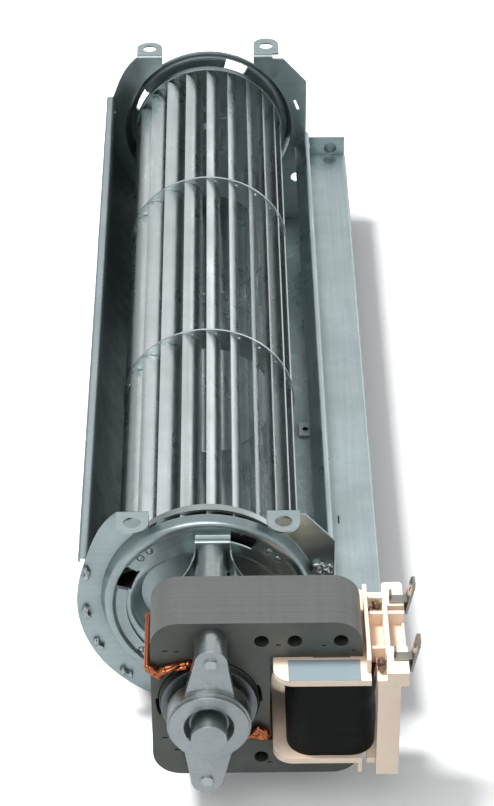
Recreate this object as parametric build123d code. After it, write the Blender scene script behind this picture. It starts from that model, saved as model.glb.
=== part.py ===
"""Cross flow fan with a C-frame motor, built in millimetres.

Fan frame: the fan axis is the Y axis, +Y runs away from the motor and +Z is up.
Y = 0 is the outer face of the motor end plate. At the end every solid is moved
together so that the origin is the bottom centre of the bounding box.
"""
import math
import os

from build123d import *

os.makedirs("parts", exist_ok=True)

# sheet metal housing
SHEET = 0.8
SPAN = 302.6
PLATE_IN_NEAR = SHEET
PLATE_IN_FAR = SPAN - SHEET
SPIRAL_START = 172.6
SPIRAL_R0 = 38.9
SPIRAL_R1 = 43.4
WALL_X = SPIRAL_R0 * math.cos(math.radians(SPIRAL_START))
WALL_TOP_Z = 15.0
FLOOR_Z = -SPIRAL_R1
FLOOR_END_X = 55.2
LIP_OUT = 2.3
PLATE_MARGIN = 2.8
FLOOR_HEM = 2.4
PLATE_BOTTOM_Z = FLOOR_Z - PLATE_MARGIN
OUTLET_TOP_Z = -4.5
OUTLET_RIGHT_X = 55.6
PLATE_RIGHT_X = 39.8
SPARE_HOLE = (35.9, -23.1)
SPARE_HOLE_D = 4.2
BLIND_BOSS = (49.8, -9.4)
BLIND_BOSS_R = 3.3

# end plate pressing
PRESS_R = 35.0
STEP_R = 34.0
CREST_R = 32.5
CREST_INNER_R = 30.7
CREST_ROUND = 1.5
BAND_R = 29.6
OPEN_R = 26.2
CREST_H = 5.3
BAND_H = 4.7
TRIM_Y = -1.7
WINDOW_R0 = 25.2
WINDOW_R1 = 30.4
WINDOW_DEG = 18.0
WINDOW_ANGLES = (67.0, 157.5, 247.0, 337.5)
CLINCH_R = 28.4
CLINCH_ANGLES = (44.0, 134.0, 224.0, 314.0)
CLINCH_HALF = 4.0
CLINCH_D = 2.6

# fixing tabs
TAB_X = 23.5
TAB_W = 10.2
TAB_L = 10.9
TAB_TOP_Z = 33.8
TAB_BEND = 1.2
TAB_HOLE_D = 5.4
TAB_HOLE_Y = 5.6
LONG_TAB_L = 13.7
LONG_TAB_HOLE_Y = 7.4
LONG_TAB_NECK_X = 26.1

# tongue sheet that forms the top of the outlet
TONGUE_LIP = (36.3, -13.4)
TONGUE_BEND = (35.5, -6.2)
TONGUE_RIDGE = (40.5, -0.9)
TONGUE_FOOT = (41.0, -12.8)
TONGUE_TAB_Z = (-10.0, -7.0)
STRIP_EDGE_X = 55.8
STRIP_HEM = 2.4
SLIT_X = 43.6
SLIT_Y0 = 52.7
SLIT_Y1 = 57.0
SLIT_W = 0.6
STRUT_Y = 149.2
STRUT_W = 8.4
STRUT_RIVET_X = (45.6, 35.4)
RIVET_R = 1.2

# tabs that pass through the end plates
LUG_W = 4.4
LUG_CLEAR = 0.12
LUG_OUT = 1.3
LUG_ANGLES = (188.5, 208.0, 229.0, 246.5)
LUG_WALL_Z = 9.9
LUG_FLOOR_X = (9.0, 32.6)
SIDE_SLOT = (35.8, 10.8)

# impeller
BLADES = 22
BLADE_R1 = 29.3
BLADE_R0 = 23.0
RIM_GAP = 0.28
RIM_T = 0.42
FAN_R = BLADE_R1 + RIM_GAP + RIM_T
BLADE_T = 0.45
BLADE_LEAN = 11.5
BLADE_PHASE = -1.0
RING_T = 0.8
RING_R0 = BLADE_R0 - 0.8
NEAR_WEB_GAP = 5.0
FAR_WEB_GAP = 2.9
NEAR_WEB_Y = PLATE_IN_NEAR + NEAR_WEB_GAP
FAR_WEB_Y = PLATE_IN_FAR - FAR_WEB_GAP
RIM_W = 2.8
RING_YS = (108.1, 211.7)
BLADE_TAB = 1.6
SLOT_CLEAR = 0.06

# shaft, hub and far bearing
SHAFT_R = 2.5
RUN_CLEAR = 0.03
SHAFT_Y0 = -65.3
SHAFT_Y1 = 17.0
HUB_R = 7.0
HUB_FLANGE_R = 11.0
HUB_FLANGE_T = 1.6
HUB_END_Y = 17.6
HUB_RIVET_R = 9.0
HUB_RIVET_D = 1.8
STUB_END_Y = SPAN + 6.0
BUSH_R = 5.6
RUBBER_R = 11.0

# motor
STACK_Y0 = -50.1
STACK_Y1 = -27.7
STACK_X0 = -17.5
STACK_X1 = 46.3
STACK_HZ = 30.0
BORE_R = 15.5
ROTOR_R = 15.1
WINDOW_X = 18.5
WINDOW_HZ = 16.7
LIMB_X0 = 31.5
LIMB_X1 = 42.5
STACK_HOLE_D = 4.4
BOLT_R = 23.2
BOLT_DEG = 88.0
ARM_FACE = 10.6
ARM_T = 4.0
BRACKET_HUB_R = 12.7
BRACKET_HUB_H = 12.9
BOSS_R = 5.4
BOSS_H = 18.2
RECESS_R = 7.2
RECESS_D = 2.8
PILLAR_R = 4.9
POST_R = 4.65

# dish that carries the motor
DISH_R = 30.0
DISH_HOLE_R = 9.5
DISH_FLOOR_Y = 2.4
OVAL_X = 24.2
OVAL_Z = 20.2
OVAL_DRAFT = 0.44
OVAL_ROUND = 1.6
PAD_Y = -9.3
PAD_X0 = -4.1
PAD_X1 = 7.0
PAD_Z0 = 16.6
PAD_Z1 = 29.3
NOTCH_GAP = 0.4

# bobbin, coil and terminals
FLANGE_T = 2.0
LABEL_W = 9.5
LABEL_T = 0.12
BOBBIN_HZ = 16.4
BOBBIN_X0 = 19.4
BOBBIN_Y0 = -61.0
BOBBIN_Y1 = -17.4
FLANGE_X1 = 48.5
BLOCK_X0 = 48.7
BLOCK_X1 = 59.6
BLOCK_Y0 = -62.5
BLOCK_Y1 = -19.5
BLOCK_TOP_Z = 20.4
POCKET_Z = 15.4
FIN_TOP_Z = 21.4
POCKET_Y0 = -49.0
POCKET_Y1 = -34.0
RIB_X0 = 53.0
RIB_X1 = 54.5
LOW_FLANGE_X1 = 57.2
LEG_T = 2.0
COIL_X0 = 23.5
COIL_X1 = 50.6
COIL_Y0 = -59.7
COIL_Y1 = -18.9
COIL_CORNER = 7.0
TERMINAL_YS = (-55.2, -28.3)
TERMINAL_X = 60.3
TERMINAL_LEAN = 12.5
BAR_X0 = 55.2
BAR_Z = BLOCK_TOP_Z
BAR_T = 0.8
BAR_HALF = 1.6
FOOT_X0 = 52.4
FOOT_Z = 18.0
FOOT_HALF = 0.9
WRAP_X0 = 50.4
WRAP_TURNS = 4
WIRE_D = 0.45
WIRE_PITCH = 0.5
BLADE_LEN = 10.9
BLADE_W = 6.3
BLADE_HOLE_D = 1.6

SLOPE = (SPIRAL_R1 - SPIRAL_R0) / (270.0 - SPIRAL_START)
MID_Y = (STACK_Y0 + STACK_Y1) / 2


def at_y(y):
    """Plane across the fan axis: local x is X, local y is Z."""
    return Plane(origin=(0, y, 0), x_dir=(1, 0, 0), z_dir=(0, -1, 0))


def slab(sketch, y0, y1):
    """Solid of a cross section between two stations on the axis."""
    return extrude(at_y(y1) * sketch, amount=y1 - y0)


def rect(x0, x1, z0, z1):
    return Pos((x0 + x1) / 2, (z0 + z1) / 2) * Rectangle(x1 - x0, z1 - z0)


def box(x0, x1, y0, y1, z0, z1):
    middle = Pos((x0 + x1) / 2, (y0 + y1) / 2, (z0 + z1) / 2)
    return middle * Box(x1 - x0, y1 - y0, z1 - z0)


def polar(r, deg):
    a = math.radians(deg)
    return (r * math.cos(a), r * math.sin(a))


def side_slab(sketch, x0, x1):
    """Solid of a side view, drawn as (Z, Y), between two stations across the fan."""
    side = Plane(origin=(x1, 0, 0), x_dir=(0, 0, 1), z_dir=(-1, 0, 0))
    return extrude(side * sketch, amount=x1 - x0)


def face_of(points):
    return make_face(Polyline(*points, close=True))


def turned(points):
    """Solid of revolution about the fan axis from (radius, Y) points."""
    return revolve(face_of(points), Axis.Y)


def pipe(r0, r1, y0, y1):
    if r0 <= 0:
        return slab(Circle(r1), y0, y1)
    return slab(Circle(r1) - Circle(r0), y0, y1)


def rod(a, b, r):
    """Round bar with ball ends between two points."""
    v = Vector(*b) - Vector(*a)
    bar = Cylinder(r, v.length, align=(Align.CENTER, Align.CENTER, Align.MIN))
    return Plane(origin=a, z_dir=v) * bar + Pos(*a) * Sphere(r) + Pos(*b) * Sphere(r)


def round_hole(x, z, d, y0, y1):
    return slab(Pos(x, z) * Circle(d / 2), y0, y1)


def wall_radius(deg):
    """Centre line radius of the scroll wall."""
    return SPIRAL_R0 + SLOPE * (deg - SPIRAL_START)


def spiral(offset, n=14):
    pts = []
    for i in range(n):
        deg = SPIRAL_START + (270.0 - SPIRAL_START) * i / (n - 1)
        pts.append(polar(wall_radius(deg) + offset, deg))
    return pts


def sector(r0, r1, middle, width):
    """Ring sector as a cutter."""
    n = 6
    degs = [middle - width / 2 + width * i / n for i in range(n + 1)]
    outer = [polar(r1, d) for d in degs]
    inner = [polar(r0, d) for d in reversed(degs)]
    return face_of(outer + inner)


# housing sheets

def lug_places():
    """Centre, direction along the sheet, for every scroll tab."""
    places = [(WALL_X, LUG_WALL_Z, 90.0)]
    for deg in LUG_ANGLES:
        x, z = polar(wall_radius(deg), deg)
        places.append((x, z, deg + 90.0))
    for x in LUG_FLOOR_X:
        places.append((x, FLOOR_Z, 0.0))
    return places


def lug(x, z, turn, y_in, out):
    """Tab through an end plate with its split end peened over."""
    body = Pos(x, z) * Rot(0, 0, turn) * Rectangle(LUG_W, SHEET)
    y_face = y_in + out * SHEET
    y_end = y_face + out * LUG_OUT
    solid = slab(body, min(y_in, y_face), max(y_in, y_face))
    for side in (-1, 1):
        half = Pos(side * LUG_W / 4, 0) * Rot(0, 0, side * 24) * Rectangle(LUG_W / 2, 1.2)
        head = Pos(x, z) * Rot(0, 0, turn) * half
        solid += slab(head, min(y_face, y_end), max(y_face, y_end))
    return solid


def lug_slots(y0, y1):
    cut = None
    for x, z, turn in lug_places():
        slot = Pos(x, z) * Rot(0, 0, turn) * Rectangle(LUG_W + 2 * LUG_CLEAR, SHEET + 2 * LUG_CLEAR)
        piece = slab(slot, y0, y1)
        cut = piece if cut is None else cut + piece
    return cut


def scroll_housing():
    """Scroll wall, floor, folded inlet lip and peened tabs, one sheet."""
    half = SHEET / 2
    outer = Spline(*spiral(half))
    inner = Spline(*spiral(-half))
    ends = [Line(outer @ 0, inner @ 0), Line(outer @ 1, inner @ 1)]
    wall = make_face([outer, inner] + ends)
    top = [(WALL_X, SPIRAL_R0 * math.sin(math.radians(SPIRAL_START)) - 0.2),
           (WALL_X, WALL_TOP_Z),
           (WALL_X - LIP_OUT, WALL_TOP_Z),
           (WALL_X - LIP_OUT, WALL_TOP_Z - 1.6)]
    lip = trace(FilletPolyline(*top, radius=0.7), line_width=SHEET)
    end = [(-0.2, FLOOR_Z), (FLOOR_END_X, FLOOR_Z), (FLOOR_END_X, FLOOR_Z - FLOOR_HEM)]
    floor = trace(FilletPolyline(*end, radius=1.0), line_width=SHEET)
    sheet = slab(wall, PLATE_IN_NEAR, PLATE_IN_FAR)
    sheet += slab(lip, PLATE_IN_NEAR, PLATE_IN_FAR)
    sheet += slab(floor, PLATE_IN_NEAR, PLATE_IN_FAR)
    for x, z, turn in lug_places():
        sheet += lug(x, z, turn, PLATE_IN_NEAR, -1)
        sheet += lug(x, z, turn, PLATE_IN_FAR, 1)
    return sheet


def tongue_tab(y_in, out):
    y0, y1 = sorted((y_in, y_in + out * (SHEET + LUG_OUT * 0.5)))
    return box(TONGUE_FOOT[0] - SHEET / 2, TONGUE_FOOT[0] + SHEET / 2, y0, y1, *TONGUE_TAB_Z)


def tongue_plate():
    """Folded sheet: vortex lip, ridge and the top strip of the outlet."""
    line = [TONGUE_LIP, TONGUE_BEND, TONGUE_RIDGE, TONGUE_FOOT,
            (STRIP_EDGE_X, TONGUE_FOOT[1]), (STRIP_EDGE_X, TONGUE_FOOT[1] - STRIP_HEM)]
    fold = trace(FilletPolyline(*line, radius=0.8), line_width=SHEET)
    sheet = slab(fold, PLATE_IN_NEAR, PLATE_IN_FAR)
    sheet += tongue_tab(PLATE_IN_NEAR, -1)
    sheet += tongue_tab(PLATE_IN_FAR, 1)
    z = TONGUE_FOOT[1]
    sheet -= box(SLIT_X - SLIT_W / 2, SLIT_X + SLIT_W / 2, SLIT_Y0, SLIT_Y1, z - 1, z + 1)
    return sheet


def plate_outline(far):
    """Flat outline of an end plate without its two tabs."""
    m = PLATE_MARGIN
    edge = SPIRAL_R0 + m
    left_x = -TAB_X - TAB_W / 2
    right_x = LONG_TAB_NECK_X if far else TAB_X + TAB_W / 2
    top = TAB_TOP_Z - SHEET
    shoulder = [polar(edge + 1.45, 141.8), polar(edge + 0.16, 153.3), polar(edge - 0.2, 164.0)]
    left = [(left_x, top)] + shoulder + spiral(m)
    side = Spline(*left)
    lines = [side,
             Line(side @ 1, (OUTLET_RIGHT_X, PLATE_BOTTOM_Z)),
             Line((OUTLET_RIGHT_X, PLATE_BOTTOM_Z), (OUTLET_RIGHT_X, OUTLET_TOP_Z)),
             Line((OUTLET_RIGHT_X, OUTLET_TOP_Z), (PLATE_RIGHT_X, OUTLET_TOP_Z)),
             Line((PLATE_RIGHT_X, OUTLET_TOP_Z), (PLATE_RIGHT_X, 21.4)),
             Line((PLATE_RIGHT_X, 21.4), (30.4, 31.9)),
             Line((30.4, 31.9), (right_x, 31.9)),
             Line((right_x, 31.9), (right_x, top)),
             Line((right_x, top), (left_x, top))]
    return make_face(lines)


def trimmed_top():
    """Cutter for the rim between the tabs, where the impeller shows."""
    half = TAB_X - TAB_W / 2
    return slab(rect(-half, half, 20.0, PRESS_R + 1), TRIM_Y, SHEET + 1)


def fixing_tab(x, length, hole_y, neck_x):
    """Tab folded outward at the top of an end plate, with its hole."""
    r = TAB_W / 2
    straight = length - r
    pad = Pos(x, (SHEET - straight) / 2) * Rectangle(TAB_W, SHEET + straight)
    pad += Pos(x, -straight) * Circle(r)
    pad -= Pos(x, -hole_y) * Circle(TAB_HOLE_D / 2)
    tab = extrude(Plane.XY.offset(TAB_TOP_Z - SHEET) * pad, amount=SHEET)
    tab -= box(neck_x, x + r + 1, -SHEET, SHEET + 1, TAB_TOP_Z - 2, TAB_TOP_Z + 1)
    tab += box(x - r, neck_x, 0, SHEET, 31.0, TAB_TOP_Z)
    corner = tab.edges().filter_by(Axis.X).sort_by(Axis.Y)[-2:]
    return fillet(corner.sort_by(Axis.Z)[-1], TAB_BEND)


def fixing_tabs(far):
    r = TAB_W / 2
    tabs = fixing_tab(-TAB_X, TAB_L, TAB_HOLE_Y, r - TAB_X)
    if far:
        return tabs + fixing_tab(TAB_X, LONG_TAB_L, LONG_TAB_HOLE_Y, LONG_TAB_NECK_X)
    return tabs + fixing_tab(TAB_X, TAB_L, TAB_HOLE_Y, TAB_X + r)


def pressing():
    """Raised annular band around the opening of an end plate."""
    line = [(PRESS_R + 0.2, SHEET / 2), (STEP_R, SHEET / 2),
            (CREST_R, SHEET / 2 - CREST_H), (CREST_INNER_R, SHEET / 2 - CREST_H),
            (BAND_R, SHEET / 2 - BAND_H), (OPEN_R, SHEET / 2 - BAND_H)]
    rounds = (0.7, CREST_ROUND, 0.6, 0.6)
    return revolve(trace(FilletPolyline(*line, radius=rounds), line_width=SHEET), Axis.Y)


def clinch_points():
    pts = []
    for middle in CLINCH_ANGLES:
        for side in (-1, 1):
            pts.append(polar(CLINCH_R, middle + side * CLINCH_HALF))
    return pts


def window_cutter():
    cut = None
    for deg in WINDOW_ANGLES:
        piece = slab(sector(WINDOW_R0, WINDOW_R1, deg, WINDOW_DEG), -8, 2)
        cut = piece if cut is None else cut + piece
    return cut


def side_slot(wide):
    """Slot beside the pressing, or the peened lug that fills it."""
    return Pos(*SIDE_SLOT) * Rot(0, 0, -68) * Rectangle(LUG_W + wide, SHEET + wide)


def side_lug():
    """Peened lug beside the crest of the motor end plate."""
    lug_body = slab(side_slot(0), -0.2, SHEET)
    for dx, dz, turn, out in ((-1.3, 0.5, 16, 1.1), (1.5, -0.4, -22, 1.6)):
        half = Pos(SIDE_SLOT[0] + dx, SIDE_SLOT[1] + dz) * Rot(0, 0, turn)
        lug_body += slab(half * RectangleRounded(2.9, 4.4, 0.7), -out, 0.1)
    return lug_body


def pad_notch():
    """Notch in the pressed band that a screw pad stands in."""
    return slab(rect(PAD_X0 - NOTCH_GAP, PAD_X1 + NOTCH_GAP, 20.0, BAND_R + 0.6), -12, -1)


def end_plate(far):
    """End plate in the motor end position; the far one is mirrored later."""
    plate = slab(plate_outline(far), 0, SHEET) - slab(Circle(PRESS_R), -1, 2)
    plate += pressing()
    plate -= trimmed_top()
    plate += fixing_tabs(far)
    plate -= window_cutter()
    plate -= lug_slots(-1, 2)
    for x, z in clinch_points():
        plate -= round_hole(x, z, CLINCH_D, -BAND_H - 0.1, -BAND_H + 0.35)
    c = LUG_CLEAR
    plate -= box(TONGUE_FOOT[0] - SHEET / 2 - c, TONGUE_FOOT[0] + SHEET / 2 + c,
                 -1, 2, TONGUE_TAB_Z[0] - c, TONGUE_TAB_Z[1] + c)
    if far:
        plate -= round_hole(*SPARE_HOLE, SPARE_HOLE_D, -1, 2)
        plate -= slab(side_slot(2 * c), -1, 2)
        plate += slab(Pos(*BLIND_BOSS) * Circle(BLIND_BOSS_R), -1 - SHEET, 0.1)
        plate -= round_hole(*BLIND_BOSS, 2 * (BLIND_BOSS_R - SHEET), -1, 2)
    else:
        plate += side_lug()
        for turn in (0, 180):
            plate -= Rot(0, turn, 0) * pad_notch()
    return plate


def oval(y, grow):
    """Cross section of the dish recess at one depth."""
    inset = (y - dish_face()) * OVAL_DRAFT
    return at_y(y) * Ellipse(OVAL_X - inset + grow, OVAL_Z - inset + grow)


def dish_face():
    """Front face of the flange of a dish, which lies against the band."""
    return SHEET - BAND_H


def oval_body(y0, y1, grow):
    return loft([oval(y0, grow), oval(y1, grow)])


def motor_dish_blank():
    """Flange and oval recess of the motor dish, with a round shoulder."""
    face = dish_face()
    dish = pipe(0, DISH_R, face, face + SHEET)
    dish += oval_body(face + SHEET / 2, DISH_FLOOR_Y + SHEET, SHEET + 0.05)
    dish -= oval_body(face - 1, DISH_FLOOR_Y, 0)
    rim = [e for e in dish.edges() if abs(e.center().Y - face) < 0.05]
    rim = [e for e in rim if e.length < 2 * math.pi * DISH_R - 5]
    dish = fillet(rim, OVAL_ROUND)
    return dish - pipe(0, DISH_HOLE_R, 0, DISH_FLOOR_Y + 2)


def mount_pad():
    """Raised screw pad, a lip of the dish sheet with a trough behind its edge."""
    face = dish_face()
    half = SHEET / 2
    floor = DISH_FLOOR_Y + half
    top, low = PAD_Z1 - half, PAD_Z0 + half
    line = [(DISH_R + 0.4, face + half), (27.0, face + half), (25.9, face - 1.3),
            (top, PAD_Y + half), (low, PAD_Y + half), (low, floor)]
    skin = trace(FilletPolyline(*line, radius=(0.8, 0.8, 0.5, 1.0)), line_width=SHEET)
    pad = side_slab(skin, PAD_X0, PAD_X1)
    wall = face_of([(DISH_R + 0.4, face + half), (27.0, face + half), (25.9, face - 1.3),
                    (top, PAD_Y + half), (low, PAD_Y + half), (low, floor),
                    (low + 3, floor), (DISH_R - 2, face + 1.5 * SHEET)])
    pad += side_slab(wall, PAD_X0, PAD_X0 + SHEET)
    pad += side_slab(wall, PAD_X1 - SHEET, PAD_X1)
    x, z = polar(BOLT_R, BOLT_DEG)
    return pad - round_hole(x, z, 4.4, PAD_Y - 1, PAD_Y + 1.5)


def motor_mount_dish():
    """Dish that carries the motor on two raised screw pads."""
    dish = motor_dish_blank() - window_cutter()
    place = slab(rect(PAD_X0, PAD_X1, PAD_Z0, DISH_R + 1), PAD_Y, DISH_FLOOR_Y + 2)
    for turn in (0, 180):
        dish -= Rot(0, turn, 0) * place
        dish += Rot(0, turn, 0) * mount_pad()
    return dish


def bearing_dish():
    """Dish of the far plate with the cup for the rubber bearing mount."""
    y_flange = dish_face() + SHEET / 2
    line = [(DISH_R, y_flange), (24.4, y_flange), (21.4, 0.8), (RUBBER_R + 0.4, 0.8),
            (RUBBER_R + 0.4, -5.2), (5.2, -5.2)]
    dish = revolve(trace(FilletPolyline(*line, radius=0.9), line_width=SHEET), Axis.Y)
    return dish - window_cutter() - far_rivet_holes()


def to_far(solid):
    """Mirror a solid from the motor end to the bearing end."""
    return mirror(solid, Plane(origin=(0, SPAN / 2, 0), z_dir=(0, 1, 0)))


def outlet_strut():
    """Bent strut that holds the tongue sheet off the floor at mid length."""
    y0, y1 = STRUT_Y - STRUT_W / 2, STRUT_Y + STRUT_W / 2
    top = TONGUE_FOOT[1] - SHEET / 2
    low = FLOOR_Z + SHEET / 2
    line = [(48.6, top - SHEET / 2), (41.6, top - SHEET / 2), (38.4, low + SHEET / 2),
            (33.0, low + SHEET / 2)]
    strut = slab(trace(FilletPolyline(*line, radius=1.2), line_width=SHEET), y0, y1)
    return strut - strut_rivet_holes()


def strut_rivets():
    """Two rivets, one through the strip and one through the floor."""
    out = []
    strip = TONGUE_FOOT[1]
    for x, z_top, z_low in ((STRUT_RIVET_X[0], strip + SHEET / 2, strip - 1.5 * SHEET),
                            (STRUT_RIVET_X[1], FLOOR_Z + 1.5 * SHEET, FLOOR_Z - SHEET / 2)):
        shank = Pos(x, STRUT_Y, (z_top + z_low) / 2) * Cylinder(RIVET_R, z_top - z_low)
        head = Pos(x, STRUT_Y, z_top + 0.25) * Cylinder(2.0, 0.5)
        tail = Pos(x, STRUT_Y, z_low - 0.25) * Cylinder(2.0, 0.5)
        out.append(shank + head + tail)
    return out


def strut_rivet_holes():
    cut = None
    for x, z in ((STRUT_RIVET_X[0], TONGUE_FOOT[1]), (STRUT_RIVET_X[1], FLOOR_Z)):
        piece = Pos(x, STRUT_Y, z) * Cylinder(RIVET_R, 6)
        cut = piece if cut is None else cut + piece
    return cut


# impeller

def blade_line():
    """Centre line of the blade at the top of the wheel."""
    outer = polar(BLADE_R1, 90.0)
    inner = polar(BLADE_R0, 90.0 - BLADE_LEAN)
    mid_r = (BLADE_R0 + BLADE_R1) / 2
    bulge = polar(mid_r + 0.45, 90.0 - BLADE_LEAN * 0.5 - 1.9)
    return ThreePointArc(outer, bulge, inner)


def blade_sketch(width):
    return trace(blade_line(), line_width=width)


def blade_turn(k):
    return Rot(0, 0, -(BLADE_PHASE + 360.0 * k / BLADES))


def impeller_blades():
    """All blades with the short ends that are folded on the end discs."""
    y0 = NEAR_WEB_Y - BLADE_TAB
    y1 = FAR_WEB_Y + RING_T + BLADE_TAB
    profile = blade_sketch(BLADE_T)
    return [slab(blade_turn(k) * profile, y0, y1) for k in range(BLADES)]


def blade_slots(y0, y1):
    profile = blade_sketch(BLADE_T + 2 * SLOT_CLEAR)
    long_line = blade_line()
    ends = Sketch()
    for end in (long_line @ 0, long_line @ 1):
        ends += Pos(end.X, end.Y) * Circle(BLADE_T / 2 + SLOT_CLEAR)
    slots = Sketch() + [blade_turn(k) * (profile + ends) for k in range(BLADES)]
    return slab(slots, y0, y1)


def stakes(y_face, out):
    """Small staked ears beside every blade on a ring."""
    y0, y1 = sorted((y_face, y_face + out * 0.5))
    ear = Pos(*polar(27.8, 82.3)) * Rot(0, 0, 30) * Rectangle(0.8, 1.8)
    return [slab(blade_turn(k) * ear, y0, y1) for k in range(BLADES)]


def end_disc(y_web, rim_side):
    """End disc: web, short rim over the blades and a centre hole."""
    y0, y1 = y_web, y_web + RING_T
    disc = pipe(SHAFT_R + 1.5, FAN_R, y0, y1) - blade_slots(y0 - 1, y1 + 1)
    r0 = BLADE_R1 + RIM_GAP
    if rim_side > 0:
        disc += pipe(r0, FAN_R, y1, y0 + RIM_W)
    else:
        disc += pipe(r0, FAN_R, y1 - RIM_W, y0)
    return disc


def middle_ring(y):
    ring = pipe(RING_R0, FAN_R, y - RING_T / 2, y + RING_T / 2)
    ring -= blade_slots(y - 1, y + 1)
    for ear in stakes(y - RING_T / 2, -1):
        ring += ear
    return ring


def impeller_hub():
    """Boss on the inside of the motor end disc, clamped on the shaft."""
    y0 = NEAR_WEB_Y + RING_T
    hub = turned([(SHAFT_R, y0 - 2.4), (SHAFT_R + 1.45, y0 - 2.4), (SHAFT_R + 1.45, y0),
                  (HUB_FLANGE_R, y0), (HUB_FLANGE_R, y0 + HUB_FLANGE_T),
                  (HUB_R, y0 + HUB_FLANGE_T),
                  (HUB_R, HUB_END_Y), (SHAFT_R, HUB_END_Y)])
    screw_hole = Cylinder(2.0, 8.0, align=(Align.CENTER, Align.CENTER, Align.MIN))
    hub -= Pos(0, HUB_END_Y - 4.0, SHAFT_R - 0.5) * screw_hole
    return hub


def hub_rivets(y_web, inside):
    """Four rivets that hold a hub flange on its disc."""
    out = []
    head = 0.5
    for k in range(4):
        x, z = polar(HUB_RIVET_R, 45 + 90 * k)
        y0, y1 = (y_web - head, y_web + RING_T + HUB_FLANGE_T + head)
        if inside < 0:
            y0, y1 = (y_web - HUB_FLANGE_T - head, y_web + RING_T + head)
        shank = round_hole(x, z, HUB_RIVET_D, y0, y1)
        for y in (y0, y1 - head):
            shank += round_hole(x, z, HUB_RIVET_D + 1, y, y + head)
        out.append(shank)
    return out


def rivet_holes(y_web):
    cut = None
    for k in range(4):
        x, z = polar(HUB_RIVET_R, 45 + 90 * k)
        piece = round_hole(x, z, HUB_RIVET_D, y_web - 3, y_web + 4)
        cut = piece if cut is None else cut + piece
    return cut


def set_screw():
    """Grub screw with its socket, in the side of the hub."""
    y = HUB_END_Y - 4.0
    low = SHAFT_R
    body = Pos(0, y, (low + HUB_R + 0.4) / 2) * Cylinder(2.0, HUB_R + 0.4 - low)
    socket = Pos(0, y, HUB_R) * extrude(RegularPolygon(1.15, 6), amount=2, both=True)
    return body - socket


def impeller_stub():
    """Flanged pin of the bearing end."""
    y1 = FAR_WEB_Y
    low = y1 - HUB_FLANGE_T
    return turned([(0, y1 - 5.0), (4.5, y1 - 5.0), (5.5, low), (HUB_FLANGE_R, low),
                   (HUB_FLANGE_R, y1), (SHAFT_R + 1.45, y1), (SHAFT_R + 1.45, y1 + 1.2),
                   (SHAFT_R, y1 + 1.2), (SHAFT_R, STUB_END_Y - 0.5), (SHAFT_R - 0.5, STUB_END_Y),
                   (0, STUB_END_Y)])


# far bearing, in motor end position before mirroring

def far_rubber():
    """Rubber ring in the cup of the bearing dish."""
    return turned([(BUSH_R, -4.2), (BUSH_R, 0.2), (RUBBER_R - 1.2, 1.2), (RUBBER_R, 0.6),
                   (RUBBER_R, -3.6), (RUBBER_R - 0.6, -4.8), (BUSH_R + 1.2, -4.8)])


def far_bush():
    return turned([(SHAFT_R + RUN_CLEAR, -4.6), (BUSH_R - 0.5, -4.6), (BUSH_R, -4.1),
                   (BUSH_R, -0.3), (BUSH_R - 0.5, 0.2), (SHAFT_R + RUN_CLEAR, 0.2)])


def far_rivet_holes():
    cut = None
    for k in range(3):
        x, z = polar(14.3, 90 + 120 * k)
        piece = round_hole(x, z, 1.4, -0.2, 2.2)
        cut = piece if cut is None else cut + piece
    return cut


def far_retainer():
    """Thin ring that keeps the rubber in its cup."""
    return pipe(6.6, 16.0, 1.2, 1.7) - far_rivet_holes()


def far_retainer_rivets():
    out = []
    for k in range(3):
        x, z = polar(14.3, 90 + 120 * k)
        pin = round_hole(x, z, 1.4, 0.0, 2.0)
        pin += round_hole(x, z, 2.2, 0.0, 0.4) + round_hole(x, z, 2.2, 1.7, 2.1)
        out.append(pin)
    return out


# motor

def stack_sketch():
    """Outline of the C-shaped stator laminations."""
    w = STACK_X1 - STACK_X0
    body = Pos((STACK_X0 + STACK_X1) / 2, 0) * RectangleRounded(w, 2 * STACK_HZ, 8.6)
    body -= rect(WINDOW_X, STACK_X1 + 1, -WINDOW_HZ, WINDOW_HZ)
    body -= Circle(BORE_R)
    for turn in (0, 180):
        body -= Rot(0, 0, turn) * sector(BORE_R - 1, BORE_R + 0.7, 9, 24)
        body -= Rot(0, 0, turn) * (Pos(*polar(BORE_R + 0.75, 112)) * Circle(1.25))
        x, z = polar(BOLT_R, BOLT_DEG + turn)
        body -= Pos(x, z) * Circle(2.1)
    body -= Pos(18.1, -13.6) * Circle(1.15)
    for x in (15.9, 25.9, 39.7):
        for z in (22.8, -23.4):
            body -= Pos(x, z) * Circle(STACK_HOLE_D / 2)
    return body


def stator_core():
    core = slab(stack_sketch(), STACK_Y0, STACK_Y1)
    marks = ((20.9, 21.4), (34.5, 21.0), (18.5, -25.6), (34.5, -25.6), (-13.6, -15.2),
             (-13.0, 19.4), (-9.5, 19.2), (-10.1, -20.1), (43.4, 18.9))
    for x, z in marks:
        core -= slab(rect(x - 0.9, x + 0.9, z - 0.35, z + 0.35), STACK_Y0 - 1, STACK_Y0 + 0.3)
    return core


def coil_limb():
    """Straight limb stack that passes through the coil."""
    return slab(rect(LIMB_X0, LIMB_X1, -WINDOW_HZ, WINDOW_HZ), STACK_Y0, STACK_Y1)


def shading_ring(turn):
    """Copper ring around one shaded pole, with its joined ends at the front."""
    r = 0.95
    sx = -18.45 if turn == 0 else -17.95
    yf, yb = STACK_Y0 - r, STACK_Y1 + r
    slot = polar(BORE_R + 0.75, 112)
    z_out = 14.4 if turn == 0 else 13.6
    pts = [(slot[0], yb, slot[1]), (slot[0], yf, slot[1]), (-12.8, yf, 13.6),
           (-14.8, yf - 0.4, 10.6), (-16.9, yf - 0.2, 12.2), (sx, yf, z_out), (sx, yb, z_out)]
    ring = None
    for a, b in zip(pts, pts[1:] + pts[:1]):
        piece = rod(a, b, r)
        ring = piece if ring is None else ring + piece
    if turn:
        ring = Rot(0, turn, 0) * ring
    return ring


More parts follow.
